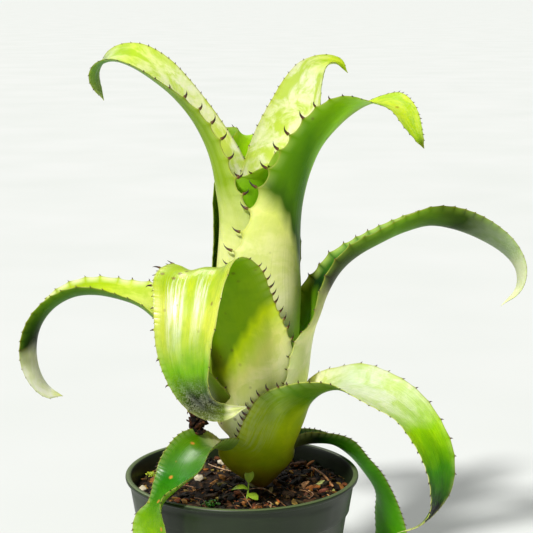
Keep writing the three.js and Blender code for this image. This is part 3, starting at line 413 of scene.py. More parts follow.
def leaf_surface(name, stops, mottle, mottle_amount=0.25, veins=0.10, rough=0.38, scales=(), spots=0.0,
                 spot_colour=(120, 82, 20), edge=(150, 150, 60), edge_amount=0.5, glow=0.45, vein_bump=0.35,
                 side_tint_and_shade=None, coat=0.0, lens=(238, 250, 170), lens_amount=0.12, cusp=(120, 96, 24), streak=0.0, shadow_edge_skew=None, mottle_pale=(120, 130, 90), coat_zone=(0.0, 1.0), spec=0.22,
                 veil=0.0, painted_highlights=()):
    """A leaf face. stops run from the foot (0) to the tip (1) as (position, 8-bit colour), with painted light and shade
    in them.
    """
    g = Graph(name)
    u, v = g.uv()
    xyz = g.coords()
    wob = g.math("MULTIPLY", g.math("SUBTRACT", g.noise(xyz, 45.0, 2.0), 0.5), 0.10)
    along = g.math("ADD", u, wob if shadow_edge_skew is None else g.math("MULTIPLY", wob, 0.22))
    if shadow_edge_skew is not None:
        # the colours lie slantwise so that the painted shadow edge runs aslant across the face: (place across the leaf,
        # shift along it)
        along = g.math("ADD", along, g.grey(v, shadow_edge_skew, True))
    colour = g.ramp(along, [(p, lin(c)) for p, c in stops])
    # cloudy mottling along the blade
    cloud = g.noise(g.vec(g.math("MULTIPLY", u, 16.0), g.math("MULTIPLY", v, 3.4), 3.0), 1.0, 4.0, 0.62, 0.7)
    cloud = g.grey(cloud, [(0.40, 0.0), (0.60, 1.0)], True)
    deep = g.mix(1.0, colour, (0.74, 0.86, 0.22, 1.0), "MULTIPLY")
    deep = g.mix(0.25, deep, g.mix(1.0, colour, lin(mottle), "MULTIPLY"))
    pale = g.mix(1.0, colour, (1.20, 1.14, 1.35, 1.0), "MULTIPLY")
    if veil > 0.0:
        pale = g.mix(veil, pale, lin(mottle_pale), "SCREEN")
    colour = g.mix(mottle_amount, colour, g.mix(cloud, pale, deep))
    fleck = g.grey(g.noise(xyz, 240.0, 3.0, 0.6), [(0.40, 0.0), (0.62, 1.0)], True)
    colour = g.mix(g.math("MULTIPLY", fleck, 0.30 * mottle_amount), colour, deep)
    # lengthwise veins, which gather at the tip because they follow the section's parameter
    vein = g.noise(g.vec(g.math("MULTIPLY", u, 2.2), g.math("MULTIPLY", v, 46.0)), 1.0, 2.5, 0.6)
    fine = g.noise(g.vec(g.math("MULTIPLY", u, 4.0), g.math("MULTIPLY", v, 130.0)), 1.0, 1.5, 0.5)
    vein_mask = g.grey(g.math("ADD", g.math("MULTIPLY", vein, 0.6), g.math("MULTIPLY", fine, 0.4)), [(0.38, 0.0), (0.62, 1.0)])
    dark = g.mix(1.0, colour, (0.62, 0.72, 0.45, 1.0), "MULTIPLY")
    colour = g.mix(g.math("MULTIPLY", vein_mask, veins), colour, dark)
    across = g.math("ABSOLUTE", g.math("SUBTRACT", g.math("MULTIPLY", v, 2.0), 1.0))
    if side_tint_and_shade is not None:
        # (side, colour, amount, from, top): one side of the face is mixed towards a colour below 'top' along the leaf;
        # on the front-left underside this is painted shade, the olive-brown shadow of its drooping blade
        tint_side, tint_and_shade_colour, tint_amount, tint_from, tint_top = side_tint_and_shade
        m = g.grey(v if tint_side > 0 else g.math("SUBTRACT", 1.0, v), [(tint_from, 0.0), (min(tint_from + 0.25, 1.0), 1.0)], True)
        m = g.math("MULTIPLY", m, g.grey(g.math("ADD", u, wob), [(tint_top, 1.0), (tint_top + 0.08, 0.0)], True))
        colour = g.mix(g.math("MULTIPLY", m, tint_amount), colour, lin(tint_and_shade_colour))
    # silvery scales: (from, to, amount) along the leaf
    for lo, hi, amount in scales:
        zone = g.grey(u, [(max(lo - 0.05, 0.0), 0.0), (lo + 0.03, 1.0), (min(hi, 0.985), 1.0), (min(hi + 0.04, 1.0), 0.7 if hi >= 0.98 else 0.0)], True)
        speck = g.noise(g.scale(xyz, (1.0, 1.0, 1.0)), 1100.0, 2.0, 0.7)
        band = g.noise(g.vec(g.math("MULTIPLY", u, 34.0), g.math("MULTIPLY", v, 5.0)), 1.0, 3.0, 0.6)
        m = g.grey(g.math("ADD", g.math("MULTIPLY", speck, 0.6), g.math("MULTIPLY", band, 0.4)), [(0.42, 0.0), (0.66, 1.0)], True)
        colour = g.mix(g.math("MULTIPLY", g.math("MULTIPLY", zone, m), amount), colour, lin((228, 236, 214)))
    # painted highlight: pale combed streaks standing in for the glossy reflection on the blade: (from, to, place
    # across, half-width, amount)
    for lo, hi, mid, half, amount in painted_highlights:
        comb = g.noise(g.vec(g.math("MULTIPLY", u, 9.0), g.math("MULTIPLY", v, 34.0), 2.0), 1.0, 5.0, 0.75)
        zone = g.grey(g.math("ADD", u, g.math("MULTIPLY", g.math("SUBTRACT", comb, 0.5), 0.34)), [(lo - 0.05, 0.0), (lo + 0.03, 1.0), (hi - 0.03, 1.0), (hi + 0.06, 0.0)], True)
        side = g.grey(g.math("ABSOLUTE", g.math("SUBTRACT", v, mid)), [(0.0, 1.0), (half * 0.55, 0.9), (half, 0.0)], True)
        m = g.math("MULTIPLY", g.math("MULTIPLY", zone, side), g.grey(comb, [(0.42, 0.15), (0.56, 1.0)], True))
        colour = g.mix(g.math("MULTIPLY", m, amount), colour, lin((247, 250, 226)))
    if spots > 0.0:
        d = g.cells(xyz, 95.0)
        pick = g.noise(xyz, 30.0, 1.0)
        m = g.math("MULTIPLY", g.grey(d, [(0.0, 1.0), (0.08, 1.0), (0.17, 0.0)]), g.grey(pick, [(0.46, 0.0), (0.52, 1.0)]))
        colour = g.mix(g.math("MULTIPLY", m, spots), colour, lin(spot_colour))
    if streak > 0.0:
        run = g.noise(g.vec(g.math("MULTIPLY", u, 1.5), g.math("MULTIPLY", v, 14.0)), 1.0, 2.0, 0.5)
        colour = g.mix(g.math("MULTIPLY", g.grey(run, [(0.42, 0.0), (0.62, 1.0)], True), streak), colour, lin((236, 246, 190)))
    marks = g.nt.nodes.new("ShaderNodeAttribute")
    marks.attribute_name = "marks"
    part = g.nt.nodes.new("ShaderNodeSeparateXYZ")
    g.nt.links.new(marks.outputs["Vector"], part.inputs[0])
    # pale lobes along the scalloped margin: partly the margin's own paler colour, partly painted highlight where the
    # curled lobes catch the light; then a brown tint at the cusps
    colour = g.mix(g.math("MULTIPLY", part.outputs[0], lens_amount), colour, lin(lens))
    colour = g.mix(g.math("MULTIPLY", part.outputs[1], 0.35), colour, lin(cusp))
    rim = g.grey(across, [(0.955, 0.0), (0.995, 1.0)])
    colour = g.mix(g.math("MULTIPLY", rim, edge_amount), colour, lin(edge))
    g.set("Base Color", colour)
    r = g.math("ADD", g.math("MULTIPLY", g.noise(xyz, 160.0, 3.0), 0.22), rough - 0.11)
    g.set("Roughness", g.math("ADD", r, g.math("MULTIPLY", vein_mask, 0.06)))
    g.set("Specular IOR Level", spec)
    if coat > 0.0:
        sheen = g.grey(g.math("ADD", u, wob), [(max(coat_zone[0] - 0.08, 0.0), 0.0), (coat_zone[0], 1.0), (coat_zone[1], 1.0), (min(coat_zone[1] + 0.08, 1.0), 0.0)], True)
        g.set("Coat Weight", g.math("MULTIPLY", sheen, coat))
        g.set("Coat Roughness", g.math("ADD", g.math("MULTIPLY", vein_mask, 0.14), 0.26))
        g.set("Coat IOR", 1.6)
    g.set("Subsurface Weight", glow)
    g.set("Subsurface Radius", (1.0, 1.0, 0.25))
    g.set("Subsurface Scale", 0.0030)
    h = g.math("ADD", g.math("MULTIPLY", vein, 0.6), g.math("MULTIPLY", fine, 0.4))
    n1 = g.bump(h, vein_bump, 0.0009)
    n2 = g.bump(g.noise(xyz, 900.0, 2.0), 0.10, 0.0002, n1)
    g.set("Normal", n2)
    return g.mat


def plain(name, colours, scale, rough=0.8, bump=0.5, distance=0.0006, detail=5.0, spec=0.3, subsurface=0.0):
    """Matt natural material: three colours through noise, with bump from the same noise."""
    g = Graph(name)
    xyz = g.coords()
    n = g.noise(xyz, scale, detail, 0.62, 0.4)
    stops = [(0.30 + 0.40 * i / (len(colours) - 1), lin(c)) for i, c in enumerate(colours)]
    g.set("Base Color", g.ramp(n, stops))
    g.set("Roughness", g.math("ADD", g.math("MULTIPLY", n, 0.2), rough - 0.1))
    g.set("Specular IOR Level", spec)
    if subsurface:
        g.set("Subsurface Weight", subsurface)
        g.set("Subsurface Radius", (1.0, 0.9, 0.3))
        g.set("Subsurface Scale", 0.0015)
    f = g.noise(xyz, scale * 4.0, 3.0)
    g.set("Normal", g.bump(g.math("ADD", n, g.math("MULTIPLY", f, 0.4)), bump, distance))
    return g.mat


def spine_material():
    g = Graph("spine")
    u, v = g.uv()
    xyz = g.coords()
    n = g.noise(xyz, 500.0, 2.0)
    colour = g.ramp(v, [(0.0, lin((132, 120, 40))), (0.16, lin((92, 46, 18))), (0.45, lin((36, 15, 8))), (1.0, lin((26, 12, 8)))])
    g.set("Base Color", g.mix(g.math("MULTIPLY", n, 0.25), colour, lin((84, 40, 20))))
    g.set("Roughness", g.math("ADD", g.math("MULTIPLY", n, 0.2), 0.32))
    g.set("Normal", g.bump(n, 0.2, 0.0001))
    return g.mat


SPINE = spine_material()

# ------------------------------------------------------------------ leaf meshes


def catmull(rows, u):
    rows = np.asarray(rows, float)
    n = len(rows)
    u = np.clip(u, 0, n - 1 - 1e-9)
    i = np.floor(u).astype(int)
    t = (u - i)[:, None]
    ext = np.vstack([2 * rows[0] - rows[1], rows, 2 * rows[-1] - rows[-2]])
    p0, p1, p2, p3 = ext[i], ext[i + 1], ext[i + 2], ext[i + 3]
    return 0.5 * (2 * p1 + (p2 - p0) * t + (2 * p0 - 5 * p1 + 4 * p2 - p3) * t * t + (3 * p1 - p0 - 3 * p2 + p3) * t ** 3)


def unit(a):
    return a / (np.linalg.norm(a, axis=-1, keepdims=True) + 1e-12)


def leaf_frames(azimuth, rows, steps=14):
    count = (len(rows) - 1) * steps + 1
    table = catmull(rows, np.linspace(0, len(rows) - 1, count))
    keel = table[:, :3]
    tangent = unit(np.gradient(keel, axis=0))
    a = math.radians(azimuth)
    b = np.array([-math.sin(a), math.cos(a), 0.0])
    b = unit(b - (b @ tangent[0]) * tangent[0])
    side = np.zeros_like(keel)
    side[0] = b
    for i in range(count - 1):
        v1 = keel[i + 1] - keel[i]
        c1 = v1 @ v1
        bl = b - (2 / c1) * (v1 @ b) * v1
        tl = tangent[i] - (2 / c1) * (v1 @ tangent[i]) * v1
        v2 = tangent[i + 1] - tl
        c2 = v2 @ v2
        b = bl - (2 / c2) * (v2 @ bl) * v2 if c2 > 1e-12 else bl
        b = unit(b - (b @ tangent[i + 1]) * tangent[i + 1])
        side[i + 1] = b
    up = np.cross(tangent, side)
    roll = np.radians(table[:, 5])[:, None]
    s = side * np.cos(roll) + up * np.sin(roll)
    n = up * np.cos(roll) - side * np.sin(roll)
    return keel, tangent, s, n, np.maximum(table[:, 3], 0.8), np.radians(np.clip(table[:, 4], 3, 170))


def teeth_positions(total, start, gap, length, pattern, rng, offset):
    """Arc positions of the marginal teeth with their spine lengths and relative sizes."""
    out = []
    s = start * total + offset * gap(start)
    k = 0
    while s < total * 0.985:
        f = s / total
        size = pattern[k % len(pattern)]
        out.append((s, length(f) * size * rng.uniform(0.82, 1.12), size))
        s += gap(f) * rng.uniform(0.86, 1.14)
        k += 1
    return out


def lerp_table(points):
    xs = [p[0] for p in points]
    ys = [p[1] for p in points]
    return lambda f: float(np.interp(f, xs, ys))


def both(value, sgn):
    """A setting for one margin: either one value for both, or {-1: left, 1: right}."""
    return value[sgn] if isinstance(value, dict) else value


def build_leaf(name, upper, under, edge, gap, length, tooth, start=0.10, ripple=0.0, ribs=0.0, rib_count=2.0, wave=0.0,
               wave_length=34.0, seed=1, tip_len=8.0, spine_lean=0.5, thick=0.9, pattern=(1.0,), curl=0.35, tip_turn=()):
    azimuth, rows = LEAVES[name]
    rows = [list(r) for r in rows]
    for row, turn, wider in tip_turn:
        rows[row][5] += turn
        rows[row][3] += wider
    rng = random.Random(seed)
    keel, tangent, side, up, width, half = leaf_frames(azimuth, rows)
    seg = np.linalg.norm(np.diff(keel, axis=0), axis=1)
    dense = np.r_[0, np.cumsum(seg)]
    total = dense[-1]
    teeth = {}
    marks = [np.linspace(0, total, int(total / 1.15))]
    for k, sgn in ((0, -1), (1, 1)):
        teeth[sgn] = teeth_positions(total, both(start, sgn), both(gap, sgn), both(length, sgn), both(pattern, sgn), rng, 0.3 + 0.45 * k)
        pos = np.array([q[0] for q in teeth[sgn]])
        marks += [pos - 0.9, pos - 0.4, pos, pos + 0.4, pos + 0.9]
    arc = np.sort(np.concatenate(marks))
    arc = arc[(arc >= 0) & (arc <= total)]
    keep = [0]
    for i in range(1, len(arc)):
        if arc[i] - arc[keep[-1]] > 0.16:
            keep.append(i)
    arc = arc[keep]
    arc[-1] = total
    pick = lambda q: np.stack([np.interp(arc, dense, q[:, c]) for c in range(3)], 1)
    keel, tangent, side, up = pick(keel), unit(pick(tangent)), unit(pick(side)), unit(pick(up))
    width = np.interp(arc, dense, width)
    half = np.interp(arc, dense, half)
    m = len(arc)
    f = arc / total
    # draw the last millimetres out to a point
    close = np.clip((total - arc) / tip_len, 0, 1)
    width = width * (0.22 + 0.78 * close ** 0.7)
    nt = 27
    t = np.linspace(-1, 1, nt)
    t = np.sign(t) * (1 - (1 - np.abs(t)) ** 1.35)
    rho = width / (2 * half)
    # scalloped margins: rounded bays between cusps, one cusp at every tooth
    extra, bay = {}, {}
    for sgn in (-1, 1):
        pos = np.array([q[0] for q in teeth[sgn]])
        size = np.array([q[2] for q in teeth[sgn]])
        amp = both(tooth, sgn)
        e, lobe = np.zeros(m), np.zeros(m)
        for i in range(m):
            j = int(np.searchsorted(pos, arc[i]))
            if 0 < j < len(pos):
                q = ((arc[i] - pos[j - 1]) / (pos[j] - pos[j - 1])) ** 0.9
                x = abs(2 * q - 1)
                big = size[j - 1] if q < 0.5 else size[j]
                e[i] = amp(f[i]) * big * (0.45 * x ** 3 + 0.55 * (1 - math.sqrt(max(0.0, 1 - x * x))))
                lobe[i] = 1 - x ** 2.5
            elif j == 0:
                e[i] = amp(f[i]) * size[0] * math.exp(-(pos[0] - arc[i]) / 1.2)
            else:
                e[i] = amp(f[i]) * size[-1] * math.exp(-(arc[i] - pos[-1]) / 1.2)
        extra[sgn] = e * np.clip(width / 8.0, 0, 1)
        bay[sgn] = lobe * np.clip(amp(0.5) / 0.8, 0, 1)
    T = np.tile(t, (m, 1))
    ext = np.where(T > 0, extra[1][:, None], extra[-1][:, None])
    angle = half[:, None] * T + np.sign(T) * (ext / rho[:, None]) * np.abs(T) ** 9
    r = rho[:, None]
    mid = keel[:, None, :] + up[:, None, :] * (r * (1 - np.cos(angle)))[..., None] + side[:, None, :] * (r * np.sin(angle))[..., None]
    nrm = up[:, None, :] * np.cos(angle)[..., None] - side[:, None, :] * np.sin(angle)[..., None]
    # shallow lengthwise folds and a slow waviness of the margins
    fade = np.clip(width / 20.0, 0, 1)[:, None] * np.clip((f - 0.25) / 0.2, 0, 1)[:, None]
    disp = np.zeros_like(T)
    lobes = np.where(T > 0, bay[1][:, None], bay[-1][:, None])
    disp += curl * lobes * np.abs(T) ** 8
    if ribs:
        disp += ribs * fade * np.cos(T * math.pi * rib_count) * (1 - T ** 4)
    if wave:
        disp += wave * fade * np.abs(T) ** 3 * np.sin(arc[:, None] * 2 * math.pi / wave_length + (T > 0) * 1.9 + seed)
    if ripple:
        bump = np.zeros_like(T)
        for i in range(m):
            for j in range(nt):
                p = mid[i, j] / 26.0
                bump[i, j] = mnoise.noise(Vector((p[0] + seed * 7.1, p[1], p[2])))
        disp += ripple * bump
    th = (0.45 + (thick - 0.45) * (1 - np.abs(T) ** 2.5)) * (0.62 + 0.38 * (1 - f[:, None]))
    th *= np.clip(width / 4.0, 0.35, 1)[:, None]
    top = mid + nrm * (disp + th / 2)[..., None]
    low = mid + nrm * (disp - th / 2)[..., None]
    verts = np.concatenate([top.reshape(-1, 3), low.reshape(-1, 3)]) * MM
    N = m * nt
    idx = np.arange(N).reshape(m, nt)
    a, b, c, d = idx[:-1, :-1].ravel(), idx[:-1, 1:].ravel(), idx[1:, 1:].ravel(), idx[1:, :-1].ravel()
    faces, mats, uvs = [], [], []
    V = (T + 1) / 2
    U = np.tile(f[:, None], (1, nt))
    uv_flat = np.stack([U.ravel(), V.ravel()], 1)
    uv_all = np.concatenate([uv_flat, uv_flat])
    quads_top = np.stack([a, d, c, b], 1)
    quads_low = np.stack([a, b, c, d], 1) + N
    faces = quads_top.tolist() + quads_low.tolist()
    mats = [0] * len(quads_top) + [1] * len(quads_low)
    # thin edges
    for col, flip in ((0, False), (nt - 1, True)):
        e0 = idx[:-1, col]
        e1 = idx[1:, col]
        q = np.stack([e0, e0 + N, e1 + N, e1], 1)
        if flip:
            q = q[:, ::-1]
        faces += q.tolist()
        mats += [2] * len(q)
    for row, flip in ((0, True), (m - 1, False)):
        e0 = idx[row, :-1]
        e1 = idx[row, 1:]
        q = np.stack([e0, e0 + N, e1 + N, e1], 1)
        if flip:
            q = q[:, ::-1]
        faces += q.tolist()
        mats += [2] * len(q)
    # check the winding: the top faces should look along nrm
    v0, v1, v2 = verts[faces[0][0]], verts[faces[0][1]], verts[faces[0][2]]
    if np.cross(v1 - v0, v2 - v0) @ nrm[0, 0] < 0:
        faces = [fc[::-1] for fc in faces]
    marks_col = np.zeros((2 * N, 4))
    marks_col[:, 3] = 1.0
    # x of 'marks': the pale margin lobes, partly painted highlight; y: the brown tooth cusps
    lens = (lobes * np.clip((np.abs(T) - 0.76) / 0.2, 0, 1)).ravel()
    cusp = ((1 - lobes) ** 2 * np.clip((np.abs(T) - 0.93) / 0.06, 0, 1)).ravel()
    marks_col[:N, 0], marks_col[N:, 0] = lens, lens
    marks_col[:N, 1], marks_col[N:, 1] = cusp, cusp
    vert_list = verts.tolist()
    loop_uv = [[tuple(uv_all[k]) for k in fc] for fc in faces]
    # spines
    for sgn, col in ((-1, 0), (1, nt - 1)):
        for s, ln, _ in teeth[sgn]:
            if ln < 0.25:
                continue
            i = min(int(np.searchsorted(arc, s)), m - 2)
            base = mid[i, col] + nrm[i, col] * disp[i, col]
            inner = mid[i, col - 3] if sgn > 0 else mid[i, 3]
            outward = unit(mid[i, col] - inner)
            tan = tangent[i]
            outward = unit(outward - (outward @ tan) * tan * 0.6)
            lean = spine_lean * rng.uniform(0.75, 1.25)
            lift = rng.uniform(-0.05, 0.25)
            rad0 = min(0.32 + 0.115 * ln, 0.95) * min(1.0, ln / 1.6 + 0.35)
            rings = 5
            sides = 6
            first = len(vert_list)
            for k in range(rings):
                q = k / (rings - 1)
                d0 = unit(outward + tan * lean * (0.25 + 1.1 * q * q) + nrm[i, col] * lift)
                p = base - outward * 0.7 + d0 * (ln + 0.7) * q
                bx = unit(np.cross(d0, nrm[i, col]))
                by = unit(np.cross(bx, d0))
                rr = rad0 * (1 - q) ** 0.85 + 0.02
                if k < rings - 1:
                    for w in range(sides):
                        an = 2 * math.pi * w / sides
                        vert_list.append(((p + bx * rr * 1.15 * math.cos(an) + by * rr * 0.75 * math.sin(an)) * MM).tolist())
                else:
                    vert_list.append((p * MM).tolist())
            for k in range(rings - 2):
                for w in range(sides):
                    w2 = (w + 1) % sides
                    fc = [first + k * sides + w, first + k * sides + w2, first + (k + 1) * sides + w2, first + (k + 1) * sides + w]
                    faces.append(fc)
                    mats.append(3)
                    q0, q1 = k / (rings - 1), (k + 1) / (rings - 1)
                    loop_uv.append([(f[i], q0), (f[i], q0), (f[i], q1), (f[i], q1)])
            tipi = first + (rings - 1) * sides
            for w in range(sides):
                w2 = (w + 1) % sides
                faces.append([first + (rings - 2) * sides + w, first + (rings - 2) * sides + w2, tipi])
                mats.append(3)
                loop_uv.append([(f[i], 0.8), (f[i], 0.8), (f[i], 1.0)])
            faces.append([first + w for w in range(sides)][::-1])
            mats.append(3)
            loop_uv.append([(f[i], 0.0)] * sides)
    mesh = bpy.data.meshes.new(name + "_blade")
    mesh.from_pydata(vert_list, [], faces)
    uv_layer = mesh.uv_layers.new(name="leaf")
    flat = [c for fc in loop_uv for c in fc]
    uv_layer.data.foreach_set("uv", [x for c in flat for x in c])
    layer = mesh.color_attributes.new("marks", "FLOAT_COLOR", "POINT")
    all_marks = np.zeros((len(vert_list), 4))
    all_marks[:2 * N] = marks_col
    layer.data.foreach_set("color", all_marks.ravel())
    mesh.polygons.foreach_set("material_index", mats)
    mesh.polygons.foreach_set("use_smooth", [True] * len(faces))
    for mt in (upper, under, edge, SPINE):
        mesh.materials.append(mt)
    mesh.validate()
    mesh.update()
    obj = bpy.data.objects.new(name + "_blade", mesh)
    scene.collection.objects.link(obj)
    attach(obj, "root")
    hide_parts(name)
    return obj


EDGE = plain("leaf_edge", [(150, 160, 50), (196, 204, 96), (214, 218, 130)], 300.0, 0.45, 0.2, 0.0002, 2.0, 0.4, 0.3)
EDGE_DARK = plain("leaf_edge_dark", [(84, 96, 24), (120, 140, 40), (150, 160, 60)], 300.0, 0.45, 0.2, 0.0002, 2.0, 0.4, 0.3)

# name: colours of the upper face and of the underside, from the foot of the leaf (0) to its tip (1); the stops also
# carry painted light and shade: pale lit zones and painted highlights, and dark painted shadow bands
RAMPS = {
    "leaf_inner": {
        "upper": [(0, (150, 170, 70)), (0.6, (96, 140, 26)), (1, (130, 170, 40))],
        "under": [(0, (150, 170, 70)), (0.5, (92, 134, 20)), (0.8, (120, 175, 20)), (1, (130, 180, 30))],
    },
    "leaf_upper_centre": {
        "upper": [(0, (196, 206, 120)), (0.5, (247, 247, 198)), (0.66, (247, 247, 198)), (0.78, (212, 218, 156)), (0.88, (197, 203, 162)), (0.95, (173, 193, 6)), (1, (119, 137, 14))],
        "under": [(0, (196, 206, 120)), (0.5, (190, 206, 96)), (1, (150, 180, 50))],
    },
    "leaf_back": {
        "upper": [(0, (150, 170, 80)), (0.33, (52, 88, 12)), (0.5, (66, 110, 10)), (0.57, (140, 196, 12)), (0.63, (164, 216, 16)), (0.75, (190, 240, 10)), (1, (120, 160, 40))],
        "under": [(0, (190, 200, 120)), (0.2, (90, 110, 50)), (0.4, (40, 70, 16)), (0.5, (60, 100, 10)), (0.58, (180, 222, 10)), (0.7, (150, 200, 10)), (0.85, (96, 130, 50)), (1, (150, 170, 110))],
    },
    "leaf_upper_left": {
        "upper": [(0, (206, 210, 130)), (0.45, (247, 247, 198)), (0.6, (247, 247, 198)), (0.75, (237, 247, 192)), (0.86, (205, 226, 92)), (0.93, (153, 168, 124)), (1, (93, 116, 93))],
        "under": [(0, (206, 206, 140)), (0.22, (227, 230, 157)), (0.42, (227, 232, 145)), (0.55, (134, 162, 13)), (0.7, (120, 153, 6)), (0.9, (70, 124, 12)), (1, (120, 146, 74))],
    },
    "leaf_upper_right": {
        "upper": [(0, (185, 210, 130)), (0.5, (204, 232, 100)), (0.78, (195, 222, 27)), (0.9, (179, 204, 9)), (0.97, (164, 197, 12)), (1, (82, 95, 18))],
        "under": [(0, (200, 200, 130)), (0.18, (247, 247, 156)), (0.32, (247, 247, 198)), (0.535, (241, 247, 136)), (0.575, (61, 99, 8)), (0.61, (86, 135, 4)), (0.7, (77, 132, 4)), (0.84, (141, 197, 3)), (1, (126, 157, 7))],
    },
    "leaf_left": {
        "upper": [(0, (170, 180, 80)), (0.3, (194, 218, 98)), (0.45, (213, 227, 117)), (0.6, (180, 203, 3)), (0.75, (112, 138, 8)), (0.83, (60, 90, 24)), (0.89, (150, 170, 130)), (0.97, (236, 244, 195)), (1, (140, 140, 70))],
        "under": [(0, (132, 128, 22)), (0.18, (71, 75, 4)), (0.4, (120, 160, 30)), (0.55, (76, 122, 15)), (0.72, (66, 115, 9)), (0.83, (20, 37, 5)), (0.89, (247, 247, 222)), (0.97, (247, 247, 222)), (1, (230, 234, 135))],
    },
    "leaf_front_left": {
        "upper": [(0, (170, 180, 80)), (0.35, (180, 214, 30)), (0.5, (195, 219, 6)), (0.62, (180, 203, 3)), (0.72, (206, 214, 65)), (0.82, (112, 168, 3)), (0.9, (6, 13, 3)), (0.945, (102, 122, 27)), (0.962, (247, 247, 198)), (1, (247, 247, 198))],
        "under": [(0, (120, 120, 60)), (0.12, (247, 247, 187)), (0.24, (247, 247, 198)), (0.34, (247, 247, 138)), (0.385, (222, 247, 64)), (0.405, (222, 247, 7)), (0.43, (129, 168, 4)), (0.5, (123, 162, 4)), (0.62, (117, 166, 7)), (0.9, (150, 176, 70)), (0.94, (232, 234, 187)), (1, (240, 240, 192))],
    },
    "leaf_right": {
        "upper": [(0, (190, 190, 110)), (0.2, (187, 220, 35)), (0.3, (132, 189, 17)), (0.42, (11, 38, 12)), (0.5, (58, 113, 28)), (0.8, (140, 170, 80)), (1, (200, 206, 160))],
        "under": [(0, (206, 206, 130)), (0.14, (247, 247, 198)), (0.26, (247, 247, 198)), (0.34, (247, 247, 169)), (0.45, (45, 48, 16)), (0.62, (95, 143, 6)), (0.74, (38, 61, 7)), (0.86, (152, 170, 136)), (1, (247, 247, 198))],
    },
    "leaf_lower_back_right": {
        "upper": [(0, (120, 130, 60)), (0.2, (20, 66, 4)), (0.45, (50, 104, 6)), (0.7, (76, 132, 6)), (1, (110, 150, 40))],
        "under": [(0, (120, 130, 60)), (0.2, (3, 26, 11)), (0.45, (83, 174, 3)), (1, (68, 140, 3))],
    },
    "leaf_lower_left": {
        "upper": [(0, (247, 247, 198)), (0.16, (247, 247, 198)), (0.27, (85, 129, 4)), (0.5, (36, 112, 3)), (0.62, (55, 116, 3)), (0.75, (110, 153, 3)), (0.9, (113, 159, 6)), (1, (150, 150, 60))],
        "under": [(0, (200, 206, 150)), (0.2, (120, 150, 60)), (0.5, (80, 126, 16)), (1, (120, 160, 30))],
    },
    "leaf_lower_right": {
        "upper": [(0, (120, 130, 40)), (0.3, (225, 225, 180)), (0.42, (200, 217, 174)), (0.55, (219, 233, 186)), (0.68, (156, 206, 3)), (0.78, (61, 135, 4)), (0.88, (5, 9, 3)), (0.95, (17, 32, 7)), (1, (39, 40, 21))],
        "under": [(0, (141, 97, 27)), (0.1, (146, 167, 10)), (0.22, (173, 193, 3)), (0.32, (79, 123, 3)), (0.42, (102, 137, 41)), (0.5, (87, 126, 31)), (0.72, (84, 124, 12)), (0.9, (50, 92, 4)), (1, (200, 200, 150))],
    },
}


L = lerp_table
